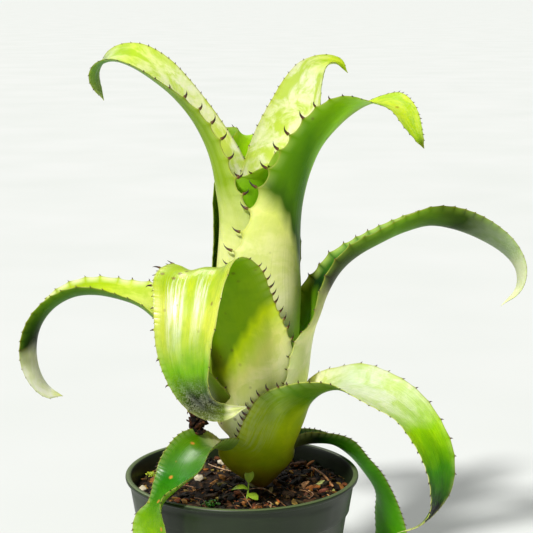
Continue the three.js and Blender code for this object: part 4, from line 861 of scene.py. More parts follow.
# name: the rest of each leaf's look. m is the margin at -1 and p the margin at +1.
STYLE = {
    "leaf_inner": dict(
        upper=dict(mottle=(90, 140, 20), glow=0.35), under=dict(mottle=(96, 150, 20), mottle_amount=0.35, glow=0.4),
        edge=1, gap=L([(0, 6), (1, 7)]), length={-1: L([(0, 0.8), (0.7, 2.6), (0.9, 3.6), (1, 1.0)]), 1: L([(0, 0.5), (1, 1.2)])},
        tooth=L([(0, 0.2), (0.8, 0.9), (1, 0.4)]), seed=3, start=0.5),
    "leaf_upper_centre": dict(
        upper=dict(veil=0.25, mottle=(196, 236, 20), mottle_amount=0.95, rough=0.42, glow=0.4), under=dict(mottle=(130, 160, 40), glow=0.4),
        edge=1, gap=L([(0, 7), (0.6, 8), (0.85, 5), (1, 4)]), length=L([(0, 0.8), (0.6, 1.0), (0.85, 0.8), (1, 0.5)]),
        tooth=L([(0, 0.3), (0.6, 0.7), (1, 0.3)]), seed=5, start=0.3, ripple=0.6, ribs=0.3, rib_count=3.0),
    "leaf_back": dict(
        upper=dict(mottle=(170, 210, 10), mottle_amount=0.4, glow=0.5), under=dict(mottle=(150, 190, 20), mottle_amount=0.35, glow=0.5, scales=[(0.85, 1.0, 0.3)]),
        edge=1, gap=L([(0, 7), (0.6, 10), (0.85, 6), (1, 4)]), length=L([(0, 0.4), (0.6, 0.5), (0.7, 2.0), (0.85, 1.5), (1, 0.6)]),
        tooth=L([(0, 0.2), (0.4, 0.3), (0.6, 1.1), (1, 0.3)]), seed=7, start=0.25, ripple=0.5),
    "leaf_upper_left": dict(
        upper=dict(veil=0.25, mottle=(190, 232, 10), mottle_amount=0.9, rough=0.36, glow=0.4, lens=(226, 246, 170)),
        under=dict(mottle=(196, 214, 80), mottle_amount=0.25, glow=0.4, scales=[(0.97, 1.0, 0.3)], streak=0.04),
        edge=1, gap={-1: L([(0, 5), (0.5, 6), (1, 3.5)]), 1: L([(0, 6), (0.3, 8.5), (0.55, 11.5), (0.72, 11.5), (0.85, 6), (1, 4)])},
        length={-1: L([(0, 0.5), (0.6, 0.7), (0.8, 1.0), (1, 0.4)]), 1: L([(0, 1), (0.3, 5.0), (0.6, 6.6), (0.74, 5.4), (0.8, 1.8), (0.88, 1.0), (1, 0.5)])},
        tooth={-1: L([(0, 0.2), (0.6, 0.3), (1, 0.3)]), 1: L([(0, 0.5), (0.3, 2.2), (0.45, 4.0), (0.7, 3.6), (0.8, 1.2), (1, 0.3)])}, seed=11, start=0.16, ripple=0.5, ribs=0.25, rib_count=2.5),
    "leaf_upper_right": dict(
        upper=dict(veil=0.12, mottle=(190, 226, 10), mottle_amount=0.9, rough=0.36, glow=0.4, scales=[(0.88, 0.96, 0.12)], spots=0.6, spot_colour=(130, 80, 16)),
        under=dict(mottle=(200, 212, 110), mottle_amount=0.3, glow=0.4, spots=0.8, spot_colour=(70, 60, 10), shadow_edge_skew=[(0.0, 0.0), (0.2, 0.015), (0.36, 0.045), (0.47, 0.09), (0.55, 0.13), (0.65, 0.22), (0.8, 0.30)]),
        edge=1, gap={-1: L([(0, 6), (0.25, 8.0), (0.4, 10), (0.6, 11.5), (0.8, 8), (0.9, 5), (1, 4)]), 1: L([(0, 7), (0.7, 8), (0.85, 4), (1, 3.5)])},
        length={-1: L([(0, 1), (0.22, 5.5), (0.6, 7.0), (0.70, 5.0), (0.78, 1.8), (0.88, 1.0), (1, 0.5)]), 1: L([(0, 0.3), (0.7, 0.6), (0.85, 1.2), (1, 0.5)])},
        tooth={-1: L([(0, 0.4), (0.3, 2.2), (0.45, 4.0), (0.66, 3.6), (0.8, 1.2), (1, 0.3)]), 1: L([(0, 0.1), (0.7, 0.5), (1, 0.4)])}, seed=13, start=0.12, ripple=0.5, tip_len=5.0),
    "leaf_left": dict(
        upper=dict(mottle=(200, 240, 20), mottle_amount=0.6, rough=0.34, glow=0.4, scales=[(0.90, 1.0, 0.2)], lens=(240, 252, 190), lens_amount=0.8),
        under=dict(mottle=(120, 180, 26), mottle_amount=0.3, glow=0.3, scales=[(0.90, 1.0, 0.25)], lens=(120, 170, 30), lens_amount=0.15),
        edge=1, gap=L([(0, 5), (0.3, 9.5), (0.55, 9), (0.75, 6), (1, 4)]), length=L([(0, 1), (0.25, 1.8), (0.5, 1.0), (0.7, 0.7), (1, 0.4)]),
        tooth=L([(0, 0.4), (0.3, 2.2), (0.6, 1.8), (0.8, 0.7), (1, 0.25)]), seed=17, start=0.12, ripple=0.5),
    "leaf_front_left": dict(
        upper=dict(mottle=(206, 240, 20), mottle_amount=0.5, rough=0.30, glow=0.35, scales=[(0.86, 0.93, 0.24)], painted_highlights=[(0.65, 0.75, 0.28, 0.15, 0.8), (0.65, 0.73, 0.62, 0.10, 0.66)], veins=0.35, vein_bump=0.9, coat=1.0, coat_zone=(0.60, 0.76),
                   spots=0.8, spot_colour=(120, 90, 20)),
        # underside: slantwise ramp with a painted shadow edge, and painted olive-brown shade down its left side
        under=dict(mottle=(190, 220, 60), mottle_amount=0.35, glow=0.35, side_tint_and_shade=(-1, (92, 70, 22), 0.72, 0.50, 0.30), shadow_edge_skew=[(0.0, 0.20), (0.3, 0.14), (0.43, 0.10), (0.48, 0.08), (0.6, 0.05), (0.72, 0.02), (0.84, 0.0)], spots=0.5, spot_colour=(80, 60, 20)),
        edge=0, gap={-1: L([(0, 4), (0.5, 3.5), (1, 3.5)]), 1: L([(0, 5), (0.2, 6.4), (0.45, 6.2), (0.53, 7.0), (0.58, 13), (0.9, 13), (1, 5)])},
        length={-1: L([(0, 1), (0.40, 3.0), (0.52, 5.0), (0.62, 4.5), (0.68, 2.0), (0.9, 1.5), (1, 0.5)]), 1: L([(0, 1), (0.15, 4.6), (0.43, 5.2), (0.50, 4.0), (0.56, 1.4), (0.8, 1.3), (1, 0.5)])},
        tooth={-1: L([(0, 0.4), (0.5, 1.4), (0.9, 1.3), (1, 0.2)]), 1: L([(0, 0.4), (0.3, 1.3), (0.46, 1.1), (0.55, 0.5), (1, 0.2)])},
        pattern={-1: (1.0, 0.25, 0.35, 0.2), 1: (1.0,)}, seed=19, start=0.12, ripple=0.6, ribs=1.0, rib_count=2.2, wave=0.35,
        tip_turn=((18, -14, 0.0), (19, -40, 1.2), (20, -60, 0.6))),
    "leaf_right": dict(
        upper=dict(mottle=(60, 96, 16), glow=0.25, lens=(190, 220, 110), lens_amount=0.6), under=dict(mottle=(150, 200, 84), mottle_amount=0.3, glow=0.25, scales=[(0.86, 1.0, 0.3)], lens=(170, 214, 80), lens_amount=0.22),
        edge=1, gap=L([(0, 5), (0.3, 8.5), (0.5, 9.5), (0.7, 7), (0.85, 5), (1, 4)]), length=L([(0, 1), (0.25, 1.8), (0.4, 1.2), (0.6, 0.7), (0.8, 0.5), (1, 0.3)]),
        tooth=L([(0, 0.4), (0.3, 2.3), (0.5, 2.0), (0.65, 1.0), (0.8, 0.4), (1, 0.2)]), seed=23, start=0.12, ripple=0.5),
    "leaf_lower_back_right": dict(
        upper=dict(mottle=(96, 150, 20), mottle_amount=0.25, veins=0.14, rough=0.34, glow=0.25, coat=0.1), under=dict(mottle=(40, 80, 8), mottle_amount=0.25, glow=0.25),
        edge=1, gap=L([(0, 3.5), (0.5, 4.0), (1, 5)]), length=L([(0, 0.8), (0.3, 1.4), (0.7, 1.2), (1, 0.5)]),
        tooth=L([(0, 0.3), (0.3, 0.8), (1, 0.4)]), seed=29, start=0.12, ripple=0.6, wave=0.4),
    "leaf_lower_left": dict(
        upper=dict(mottle=(160, 210, 20), mottle_amount=0.45, rough=0.26, glow=0.25, spots=1.0, spot_colour=(190, 130, 50), coat=0.7, coat_zone=(0.30, 0.44)), under=dict(mottle=(90, 130, 30), glow=0.3),
        edge=1, gap=L([(0, 3.0), (0.5, 3.2), (1, 5)]), length=L([(0, 0.5), (0.3, 0.8), (0.6, 1.3), (1, 0.5)]),
        tooth=L([(0, 0.25), (0.3, 0.6), (0.6, 0.9), (1, 0.3)]), seed=31, start=0.14, ripple=0.6, wave=0.3),
    "leaf_lower_right": dict(
        upper=dict(mottle=(200, 240, 20), mottle_amount=0.6, rough=0.30, glow=0.4, vein_bump=0.8, veins=0.3, coat=0.9, coat_zone=(0.38, 0.60), painted_highlights=[(0.36, 0.50, 0.35, 0.3, 0.4)]),
        under=dict(mottle=(190, 210, 60), mottle_amount=0.4, glow=0.3, side_tint_and_shade=(1, (140, 96, 6), 0.25, 0.5, 0.9), painted_highlights=[(0.16, 0.30, 0.10, 0.26, 0.09)]),
        edge=0, gap={-1: L([(0, 3.2), (0.16, 4.2), (0.30, 4.8), (0.36, 6.5), (0.8, 7), (1, 5)]), 1: L([(0, 3.6), (0.3, 9), (0.8, 10), (1, 6)])},
        length={-1: L([(0, 0.5), (0.12, 1.4), (0.2, 4.6), (0.30, 4.4), (0.35, 1.8), (0.6, 1.3), (0.8, 1.6), (1, 0.5)]), 1: L([(0, 0.4), (0.3, 1.0), (0.7, 1.5), (1, 0.5)])},
        tooth={-1: L([(0, 0.3), (0.25, 1.1), (0.4, 0.8), (0.8, 1.3), (1, 0.2)]), 1: L([(0, 0.2), (0.4, 0.8), (0.8, 0.9), (1, 0.2)])}, seed=37, start=0.08, ripple=0.5, ribs=0.3, rib_count=2.0, wave=0.5),
}

for leaf_name, style in STYLE.items():
    style = dict(style)
    faces = {}
    for face in ("upper", "under"):
        face_look = dict(spec=0.12 if face == "upper" else 0.08)
        face_look.update(style.pop(face))
        faces[face] = leaf_surface(leaf_name + "_" + face, RAMPS[leaf_name][face], **face_look)
    build_leaf(leaf_name, faces["upper"], faces["under"], (EDGE, EDGE_DARK)[style.pop("edge")], **style)


# ------------------------------------------------------------------ pot
POT = {"height": 112.0, "rim": 76.0, "band_top": 73.4, "band_foot": 70.2, "band_foot_z": 88.0, "wall_top": 68.8,
       "base": 56.0, "wall": 1.3, "floor": 2.2}


def link(mesh, name, materials, node=None, smooth=True):
    mesh.polygons.foreach_set("use_smooth", [smooth] * len(mesh.polygons))
    for mt in materials:
        mesh.materials.append(mt)
    mesh.update()
    obj = bpy.data.objects.new(name, mesh)
    scene.collection.objects.link(obj)
    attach(obj, "root")
    if node:
        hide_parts(*([node] if isinstance(node, str) else node))
    return obj


def pot_material():
    g = Graph("pot_plastic")
    xyz = g.coords()
    broad = g.noise(xyz, 22.0, 3.0, 0.6)
    fine = g.noise(xyz, 420.0, 3.0, 0.6)
    s = g.nt.nodes.new("ShaderNodeSeparateXYZ")
    g.nt.links.new(xyz, s.inputs[0])
    z = s.outputs[2]
    base = g.ramp(broad, [(0.3, lin((29, 40, 20))), (0.7, lin((43, 59, 29)))])
    band = g.math("GREATER_THAN", z, 0.0880)
    colour = g.mix(g.math("MULTIPLY", band, 0.45), base, lin((24, 32, 19)))
    # pale ring on the top of the lip: a painted highlight
    top = g.math("GREATER_THAN", z, 0.1116)
    colour = g.mix(g.math("MULTIPLY", top, 0.6), colour, lin((112, 128, 84)))
    # dust and scuffs
    scuff = g.noise(g.scale(xyz, (1.0, 1.0, 6.0)), 60.0, 5.0, 0.7)
    m = g.grey(scuff, [(0.56, 0.0), (0.72, 1.0)])
    colour = g.mix(g.math("MULTIPLY", m, 0.12), colour, lin((92, 100, 76)))
    g.set("Base Color", colour)
    g.set("Roughness", g.math("ADD", g.math("MULTIPLY", broad, 0.25), 0.30))
    g.set("Specular IOR Level", 0.36)
    g.set("Subsurface Weight", 0.12)
    g.set("Subsurface Radius", (0.7, 1.0, 0.6))
    g.set("Subsurface Scale", 0.002)
    g.set("Normal", g.bump(fine, 0.10, 0.0002))
    return g.mat


def build_pot():
    P = POT
    inner_top = P["band_top"] - P["wall"]
    # (radius, z, rib depth) from the middle of the base, up the outside, over the lip and down the inside
    prof = [(0.0, 0.6, 0), (36.0, 0.6, 0), (38.0, 0.0, 0), (54.4, 0.0, 0), (55.4, 0.4, 0), (P["base"], 1.6, 0)]
    for k in range(1, 11):
        q = k / 10
        prof.append((P["base"] + (P["wall_top"] - P["base"]) * q, 1.6 + (P["band_foot_z"] - 2.6) * q, 0.35))
    prof += [(69.2, 87.6, 0), (70.0, 88.0, 0), (70.35, 88.6, 0)]
    for k in range(1, 7):
        q = k / 6
        prof.append((70.35 + (72.75 - 70.35) * q, 88.6 + (103.4 - 88.6) * q, 0.22))
    prof += [(72.55, 104.2, 0), (72.7, 105.0, 0), (73.1, 108.2, 0), (73.6, 108.9, 0), (75.2, 109.1, 0), (75.8, 109.6, 0), (76.0, 110.4, 0),
             (75.9, 111.3, 0), (75.4, 111.85, 0), (74.6, 112.0, 0), (73.4, 111.95, 0), (72.6, 111.6, 0), (inner_top + 0.1, 110.6, 0)]
    for k in range(1, 6):
        q = k / 5
        prof.append((inner_top + (P["band_foot"] - P["wall"] - inner_top) * q, 110.6 + (89.0 - 110.6) * q, 0))
    prof += [(67.5, 86.5, 0), (61.0, 45.0, 0), (54.9, 3.4, 0), (54.0, 2.3, 0), (0.0, 2.2, 0)]
    seg = 192
    verts, faces = [], []
    rings = []
    for r, z, rib in prof:
        if r == 0.0:
            rings.append([len(verts)])
            verts.append((0, 0, z * MM))
            continue
        ring = []
        for i in range(seg):
            a = 2 * math.pi * i / seg
            # shallow upright panels on the wall
            w = 0.5 + 0.5 * math.tanh(6.0 * math.cos(a * 12.0))
            rr = r - rib * w
            ring.append(len(verts))
            verts.append((rr * math.cos(a) * MM, rr * math.sin(a) * MM, z * MM))
        rings.append(ring)
    for k in range(len(rings) - 1):
        a, b = rings[k], rings[k + 1]
        for i in range(seg):
            j = (i + 1) % seg
            if len(a) == 1:
                faces.append((a[0], b[j], b[i]))
            elif len(b) == 1:
                faces.append((a[i], a[j], b[0]))
            else:
                faces.append((a[i], a[j], b[j], b[i]))
    mesh = bpy.data.meshes.new("nursery_pot")
    mesh.from_pydata(verts, [], faces)
    mesh.update()
    obj = link(mesh, "nursery_pot", [pot_material()], "pot")
    # six drain holes through the floor
    verts, faces = [], []
    for h in range(6):
        a = 2 * math.pi * (h + 0.5) / 6
        n = len(verts)
        for z in (-2.0, 5.0):
            for i in range(32):
                b = 2 * math.pi * i / 32
                verts.append(((42.0 * math.cos(a) + 4.5 * math.cos(b)) * MM, (42.0 * math.sin(a) + 4.5 * math.sin(b)) * MM, z * MM))
        faces.append(tuple(n + 31 - i for i in range(32)))
        faces.append(tuple(n + 32 + i for i in range(32)))
        for i in range(32):
            j = (i + 1) % 32
            faces.append((n + i, n + j, n + 32 + j, n + 32 + i))
    cut = bpy.data.meshes.new("drain_cut")
    cut.from_pydata(verts, [], faces)
    cutter = bpy.data.objects.new("drain_cut", cut)
    scene.collection.objects.link(cutter)
    mod = obj.modifiers.new("drain", "BOOLEAN")
    mod.operation, mod.solver, mod.object = "DIFFERENCE", "EXACT", cutter
    bpy.context.view_layer.update()
    done = bpy.data.meshes.new_from_object(obj.evaluated_get(bpy.context.evaluated_depsgraph_get()))
    obj.modifiers.clear()
    obj.data = done
    bpy.data.objects.remove(cutter)
    if len(done.polygons) < len(mesh.polygons):
        obj.data = mesh
    return obj


build_pot()

# ------------------------------------------------------------------ potting mix


def soil_height(x, y):
    d2 = (x - 9.4) ** 2 + y * y
    return (101.0 + 2.2 * math.exp(-d2 / 500.0) + 0.9 * math.sin(x * 0.11 + 1.3) * math.cos(y * 0.13 - 0.4)
            + 0.5 * math.sin(x * 0.29 - y * 0.23))


def soil_material():
    g = Graph("bark_mix")
    xyz = g.coords()
    a = g.noise(xyz, 140.0, 6.0, 0.65, 0.6)
    b = g.noise(xyz, 55.0, 3.0, 0.6)
    colour = g.ramp(a, [(0.30, lin((8, 6, 4))), (0.48, lin((24, 16, 10))), (0.62, lin((66, 43, 20))), (0.78, lin((120, 84, 42)))])
    colour = g.mix(g.grey(b, [(0.45, 0.0), (0.7, 0.8)]), colour, lin((30, 20, 13)))
    g.set("Base Color", colour)
    g.set("Roughness", g.math("ADD", g.math("MULTIPLY", a, 0.25), 0.68))
    g.set("Specular IOR Level", 0.25)
    f = g.noise(xyz, 700.0, 4.0, 0.6)
    g.set("Normal", g.bump(g.math("ADD", a, g.math("MULTIPLY", f, 0.4)), 0.8, 0.0015))
    return g.mat


def build_soil():
    seg, rings = 150, 64
    R = 71.0
    verts = [(0.0, 0.0, 0.0)]
    for k in range(1, rings + 1):
        for i in range(seg):
            r = R * (k / rings)
            a = 2 * math.pi * i / seg
            verts.append((r * math.cos(a), r * math.sin(a), 0.0))
    out = []
    for x, y, _ in verts:
        z = soil_height(x, y)
        n1 = mnoise.noise(Vector((x / 9.0, y / 9.0, 3.1)))
        n2 = mnoise.noise(Vector((x / 3.6, y / 3.6, 8.7)))
        n3 = mnoise.noise(Vector((x / 1.7, y / 1.7, 1.7)))
        r = math.hypot(x, y)
        k = 1.0 - 0.6 * max(0.0, (r - 62.0) / 9.0)
        z += (1.5 * n1 + 1.1 * n2 + 0.5 * n3) * k - 0.8
        if r > 66.0:
            z -= 1.2 * (r - 66.0) / 5.0
        out.append((x * MM, y * MM, z * MM))
    skirt = len(out)
    for i in range(seg):
        a = 2 * math.pi * i / seg
        out.append((67.0 * math.cos(a) * MM, 67.0 * math.sin(a) * MM, 0.084))
    bottom = len(out)
    for i in range(seg):
        a = 2 * math.pi * i / seg
        out.append((54.3 * math.cos(a) * MM, 54.3 * math.sin(a) * MM, 0.0026))
    out.append((0.0, 0.0, 0.0026))
    faces = []
    for i in range(seg):
        j = (i + 1) % seg
        faces.append((0, 1 + i, 1 + j))
        for k in range(rings - 1):
            a = 1 + k * seg
            faces.append((a + i, a + seg + i, a + seg + j, a + j))
        e = 1 + (rings - 1) * seg
        faces.append((e + i, skirt + i, skirt + j, e + j))
        faces.append((skirt + i, bottom + i, bottom + j, skirt + j))
        faces.append((bottom + i, len(out) - 1, bottom + j))
    mesh = bpy.data.meshes.new("bark_mix")
    mesh.from_pydata(out, [], faces)
    link(mesh, "bark_mix", [soil_material()], "potting_mix")


build_soil()


def tint_material(name, rough=0.75, bump=0.5, scale=260.0, spec=0.3):
    """Takes its main colour from the colour attribute 'tint' of each fragment."""
    g = Graph(name)
    xyz = g.coords()
    colour, _ = g.attr("tint")
    n = g.noise(xyz, scale, 5.0, 0.65, 0.5)
    streak = g.noise(g.scale(xyz, (1.0, 1.0, 1.0)), scale * 3.0, 3.0, 0.6)
    dark = g.mix(1.0, colour, (0.30, 0.25, 0.20, 1.0), "MULTIPLY")
    light = g.mix(0.35, colour, lin((206, 160, 104)))
    colour = g.mix(g.grey(n, [(0.40, 1.0), (0.58, 0.0)]), colour, dark)
    colour = g.mix(g.grey(streak, [(0.60, 0.0), (0.75, 0.45)]), colour, light)
    g.set("Base Color", colour)
    g.set("Roughness", g.math("ADD", g.math("MULTIPLY", n, 0.25), rough - 0.12))
    g.set("Specular IOR Level", spec)
    g.set("Normal", g.bump(g.math("ADD", n, g.math("MULTIPLY", streak, 0.5)), bump, 0.0007))
    return g.mat


BARK = tint_material("bark_fragment")


def splinter(rng, cx, cy, cz, length, breadth, thick, heading, tilt, n=7, levels=((-0.5, 0.62), (-0.22, 0.95), (0.2, 1.0), (0.5, 0.66))):
    """Vertices and faces of an uneven splinter of bark."""
    verts, faces = [], []
    c, s = math.cos(heading), math.sin(heading)
    radii = [rng.uniform(0.72, 1.12) for _ in range(n)]
    tx, ty = math.tan(tilt), math.tan(rng.uniform(-0.25, 0.25))
    bend = rng.uniform(-0.12, 0.12) / max(length, 1.0)
    for lv, sh in levels:
        for i in range(n):
            a = 2 * math.pi * i / n
            jr = rng.uniform(0.92, 1.06)
            px = math.cos(a) * length / 2 * radii[i] * sh * jr
            py = math.sin(a) * breadth / 2 * radii[i] * sh * jr
            pz = lv * thick * rng.uniform(0.85, 1.15) + px * tx + py * ty + bend * px * px
            verts.append(((cx + px * c - py * s) * MM, (cy + px * s + py * c) * MM, (cz + pz) * MM))
    L = len(levels)
    for k in range(L - 1):
        for i in range(n):
            j = (i + 1) % n
            faces.append((k * n + i, k * n + j, (k + 1) * n + j, (k + 1) * n + i))
    faces.append(tuple(reversed(range(n))))
    faces.append(tuple((L - 1) * n + i for i in range(n)))
    return verts, faces


def gather(name, pieces, materials, node=None, smooth=False):
    """One mesh from [(verts, faces, tint), ...]."""
    V, F, C = [], [], []
    for verts, faces, tint in pieces:
        o = len(V)
        V += verts
        F += [tuple(i + o for i in f) for f in faces]
        C += [tint] * len(faces)
    mesh = bpy.data.meshes.new(name)
    mesh.from_pydata(V, [], F)
    layer = mesh.color_attributes.new("tint", "FLOAT_COLOR", "CORNER")
    data = []
    for f, c in zip(F, C):
        data += list(c) * len(f)
    layer.data.foreach_set("color", data)
    return link(mesh, name, materials, node, smooth)


BARK_TINTS = [(146, 96, 36), (182, 124, 56), (104, 68, 28), (70, 46, 24), (38, 28, 18), (20, 15, 10), (204, 160, 100), (116, 84, 48), (150, 86, 26), (26, 20, 15), (56, 38, 22), (15, 12, 9), (30, 22, 15), (22, 17, 12)]


def occupied(x, y, r=0.0):
    """True inside the foot of the plant."""
    return math.hypot(x - 9.4, y) < 9.5 + r


def scatter():
    rng = random.Random(11)
    pieces = []
    for i in range(1700):
        r = 70.0 * math.sqrt(rng.random())
        a = rng.uniform(0, 2 * math.pi)
        x, y = r * math.cos(a), r * math.sin(a)
        if occupied(x, y):
            continue
        ln = rng.choice([1.2, 1.6, 2.0, 2.4, 2.8, 3.4, 4.4, 6.0, 8.5]) * rng.uniform(0.8, 1.2)
        if r + ln / 2 > 70.5:
            ln = max(1.5, (70.5 - r) * 2)
        br = ln * rng.uniform(0.28, 0.7)
        th = ln * rng.uniform(0.16, 0.38)
        tilt = rng.uniform(-0.55, 0.55)
        z = soil_height(x, y) + rng.uniform(-0.7, 1.0)
        tint = lin([min(255, max(0, int(c * rng.uniform(0.8, 1.15)))) for c in rng.choice(BARK_TINTS)])
        v, f = splinter(rng, x, y, z, ln, br, th, rng.uniform(0, math.pi), tilt, n=rng.choice([5, 6, 7]))
        pieces.append((v, f, tint))
    gather("bark_crumbs", pieces, [BARK], None)


scatter()

CHIPS = [
    (1, -49, -14, 15, 8, 4.5, 25), (2, -30, -42, 13, 7, 4.0, -20), (3, -10, -55, 12, 6, 4.0, 70), (4, 22, -50, 14, 7, 4.5, 10),
    (5, 44, -34, 12, 8, 4.0, -50), (6, 37, 9, 11, 6, 4.0, 80), (7, 38, 46, 13, 7, 4.0, 35), (8, 6, 58, 12, 8, 4.0, -10),
    (9, -40, 40, 14, 7, 4.5, -40), (10, -58, 14, 10, 6, 3.5, 60), (11, -20, -24, 11, 6, 3.5, 5), (12, 30, -22, 10, 6, 3.5, -35),
]


def build_chips():
    tints = [(150, 88, 34), (124, 76, 32), (140, 96, 50), (112, 70, 34), (78, 52, 32), (50, 38, 28), (96, 60, 32), (82, 54, 32), (112, 70, 32), (156, 100, 46), (92, 66, 40), (62, 44, 30)]
    for i, (k, x, y, ln, br, th, hd) in enumerate(CHIPS):
        rng = random.Random(100 + k)
        levels = ((-0.5, 0.55), (-0.36, 0.84), (-0.15, 0.97), (0.08, 1.0), (0.3, 0.93), (0.45, 0.78), (0.5, 0.55))
        v, f = splinter(rng, x, y, soil_height(x, y) + th * 0.22, ln, br, th, math.radians(hd), rng.uniform(-0.12, 0.12), n=14, levels=levels)
        gather("bark_piece_%d" % k, [(v, f, lin(tints[i]))], [BARK], "bark_chip_%d" % k)


build_chips()


def blob(name, centre, radii, rough, seed, materials, node, detail=3, freq=1.6):
    """A rounded lump with noisy relief."""
    import bmesh
    bm = bmesh.new()
    bmesh.ops.create_icosphere(bm, subdivisions=detail, radius=1.0)
    for v in bm.verts:
        p = v.co.copy()
        k = 1 + rough * mnoise.fractal(p * freq + Vector((seed, seed * 0.7, 3.0)), 0.8, 2.1, 4)
        v.co = Vector(((centre[0] + p.x * radii[0] * k) * MM, (centre[1] + p.y * radii[1] * k) * MM, (centre[2] + p.z * radii[2] * k) * MM))
    mesh = bpy.data.meshes.new(name)
    bm.to_mesh(mesh)
    bm.free()
    return link(mesh, name, materials, node)


PERLITE = plain("perlite", [(150, 132, 104), (206, 194, 168), (232, 224, 206)], 260.0, 0.85, 0.8, 0.0008)
for k, (x, y, r) in enumerate([(-29, 15, 3.2), (-14.6, 49.8, 3.4), (-64.5, -8, 2.8)], 1):
    blob("perlite_grain_%d" % k, (x, y, soil_height(x, y) + r * 0.3), (r, r * 0.85, r * 0.75), 0.35, 20.0 + k, [PERLITE], "perlite_%d" % k)

DRIED = plain("dead_leaf", [(12, 7, 4), (38, 22, 12), (84, 44, 20), (124, 70, 34)], 120.0, 0.92, 0.9, 0.0016, 6.0, 0.2)


def build_dried():
    """The crumbled foot of an old leaf: a clump of small dark brown scraps."""
    rng = random.Random(5)
    pieces = []
    cx, cy, cz = -28.5, -14.0, 148.5
    for i in range(90):
        a = rng.uniform(0, 2 * math.pi)
        b = rng.uniform(-1, 1)
        q = rng.uniform(0.2, 0.80)
        x = cx + 8.5 * q * math.cos(a) * math.sqrt(1 - b * b)
        y = cy + 6.5 * q * math.sin(a) * math.sqrt(1 - b * b)
        z = cz + 10.0 * q * b
        ln = rng.uniform(2.6, 5.6)
        tint = lin(rng.choice([(34, 22, 14), (48, 30, 18), (72, 40, 22), (92, 54, 30), (22, 15, 10), (58, 36, 24)]))
        v, f = splinter(rng, x, y, z, ln, ln * rng.uniform(0.5, 0.85), rng.uniform(1.2, 2.6), rng.uniform(0, math.pi), rng.uniform(-0.9, 0.9), n=8,
                        levels=((-0.5, 0.55), (-0.3, 0.86), (0.1, 1.0), (0.36, 0.82), (0.5, 0.5)))
        pieces.append((v, f, tint))
    return gather("dead_leaf_foot", pieces, [tint_material("dead_leaf_scraps", 0.9, 0.8, 200.0, 0.2)], "dried_leaf_base")


build_dried()


def tube(points, radii, sides=8):
    """Vertices and faces of a tube through points in mm."""
    P = np.array(points, float)
    T = unit(np.gradient(P, axis=0))
    ref = np.array([0.0, 0.0, 1.0]) if abs(T[0][2]) < 0.9 else np.array([1.0, 0.0, 0.0])
    b = unit(np.cross(T[0], ref))
    verts, faces = [], []
    for i in range(len(P)):
        b = unit(b - (b @ T[i]) * T[i])
        c = np.cross(T[i], b)
        for k in range(sides):
            a = 2 * math.pi * k / sides
            verts.append(tuple((P[i] + radii[i] * (b * math.cos(a) + c * math.sin(a))) * MM))
    for i in range(len(P) - 1):
        for k in range(sides):
            j = (k + 1) % sides
            faces.append((i * sides + k, i * sides + j, (i + 1) * sides + j, (i + 1) * sides + k))
    faces.append(tuple(reversed(range(sides))))
    e = (len(P) - 1) * sides
    faces.append(tuple(e + k for k in range(sides)))
    return verts, faces


def spline(points, n):
    rows = np.array(points, float)
    return catmull(rows, np.linspace(0, len(rows) - 1, n))


def build_twig():
    z0, z1 = soil_height(46.9, 36.6), soil_height(59.3, -5.4)
    P = spline([(46.9, 36.6, z0 + 2.1), (53.9, 15.6, z1 + 3.1), (59.3, -5.4, z1 + 2.3)], 22)
    rng = random.Random(3)
    rad = [0.75 * rng.uniform(0.82, 1.12) for _ in P]
    v, f = tube(P, rad, 8)
    gather("straw_twig", [(v, f, lin((190, 138, 92)))], [tint_material("straw", 0.7, 0.4, 300.0)], "twig", True)


build_twig()


def build_fibres():
    """Pale stalks and root fibres lying on the mix."""
    rng = random.Random(17)
    pieces = []
    lines = [
        [(-2.5, -11.4), (1.5, -24.0), (6.9, -45.9)], [(17, -33), (19, -40), (18, -50)], [(8, -50), (10, -44), (13, -37)],
        [(26, -42), (28, -47), (31, -40)], [(-30, -26), (-24, -34), (-22, -44)], [(2, 2 - 14), (14, -16), (22, -23)],
        [(-46, 2), (-38, -4), (-31, -2)], [(40, -8), (46, -18), (43, -27)], [(-8, 30), (-18, 36), (-24, 46)],
    ]
    for pts in lines:
        hump = rng.uniform(0.6, 2.2)
        P = [(x, y, soil_height(x, y) + 1.4 + (hump if i == 1 else 0.0)) for i, (x, y) in enumerate(pts)]
        Q = spline(P, 16)
        r0 = rng.uniform(0.28, 0.5)
        v, f = tube(Q, [r0 * (1 - 0.5 * i / 15) for i in range(16)], 6)
        pieces.append((v, f, lin(rng.choice([(196, 150, 118), (170, 128, 96), (212, 176, 140)]))))
    for i in range(60):
        r = 66 * math.sqrt(rng.random())
        a = rng.uniform(0, 2 * math.pi)
        x, y = r * math.cos(a), r * math.sin(a)
        if occupied(x, y, 2):
            continue
        h = rng.uniform(0, math.pi)
        ln = rng.uniform(4, 11)
        P = []
        for q in (-0.5, 0.0, 0.5):
            px, py = x + ln * q * math.cos(h), y + ln * q * math.sin(h)
            if math.hypot(px, py) > 69:
                px, py = x, y
            P.append((px, py, soil_height(px, py) + rng.uniform(0.6, 1.6)))
        if P[0][:2] == P[2][:2] or P[0][:2] == P[1][:2] or P[1][:2] == P[2][:2]:
            continue
        Q = spline(P, 9)
        v, f = tube(Q, [rng.uniform(0.16, 0.3)] * 9, 5)
        pieces.append((v, f, lin(rng.choice([(150, 104, 66), (120, 78, 46), (186, 140, 96), (96, 62, 38)]))))
    gather("fibres", pieces, [tint_material("fibre", 0.7, 0.3, 400.0)], None, True)


build_fibres()


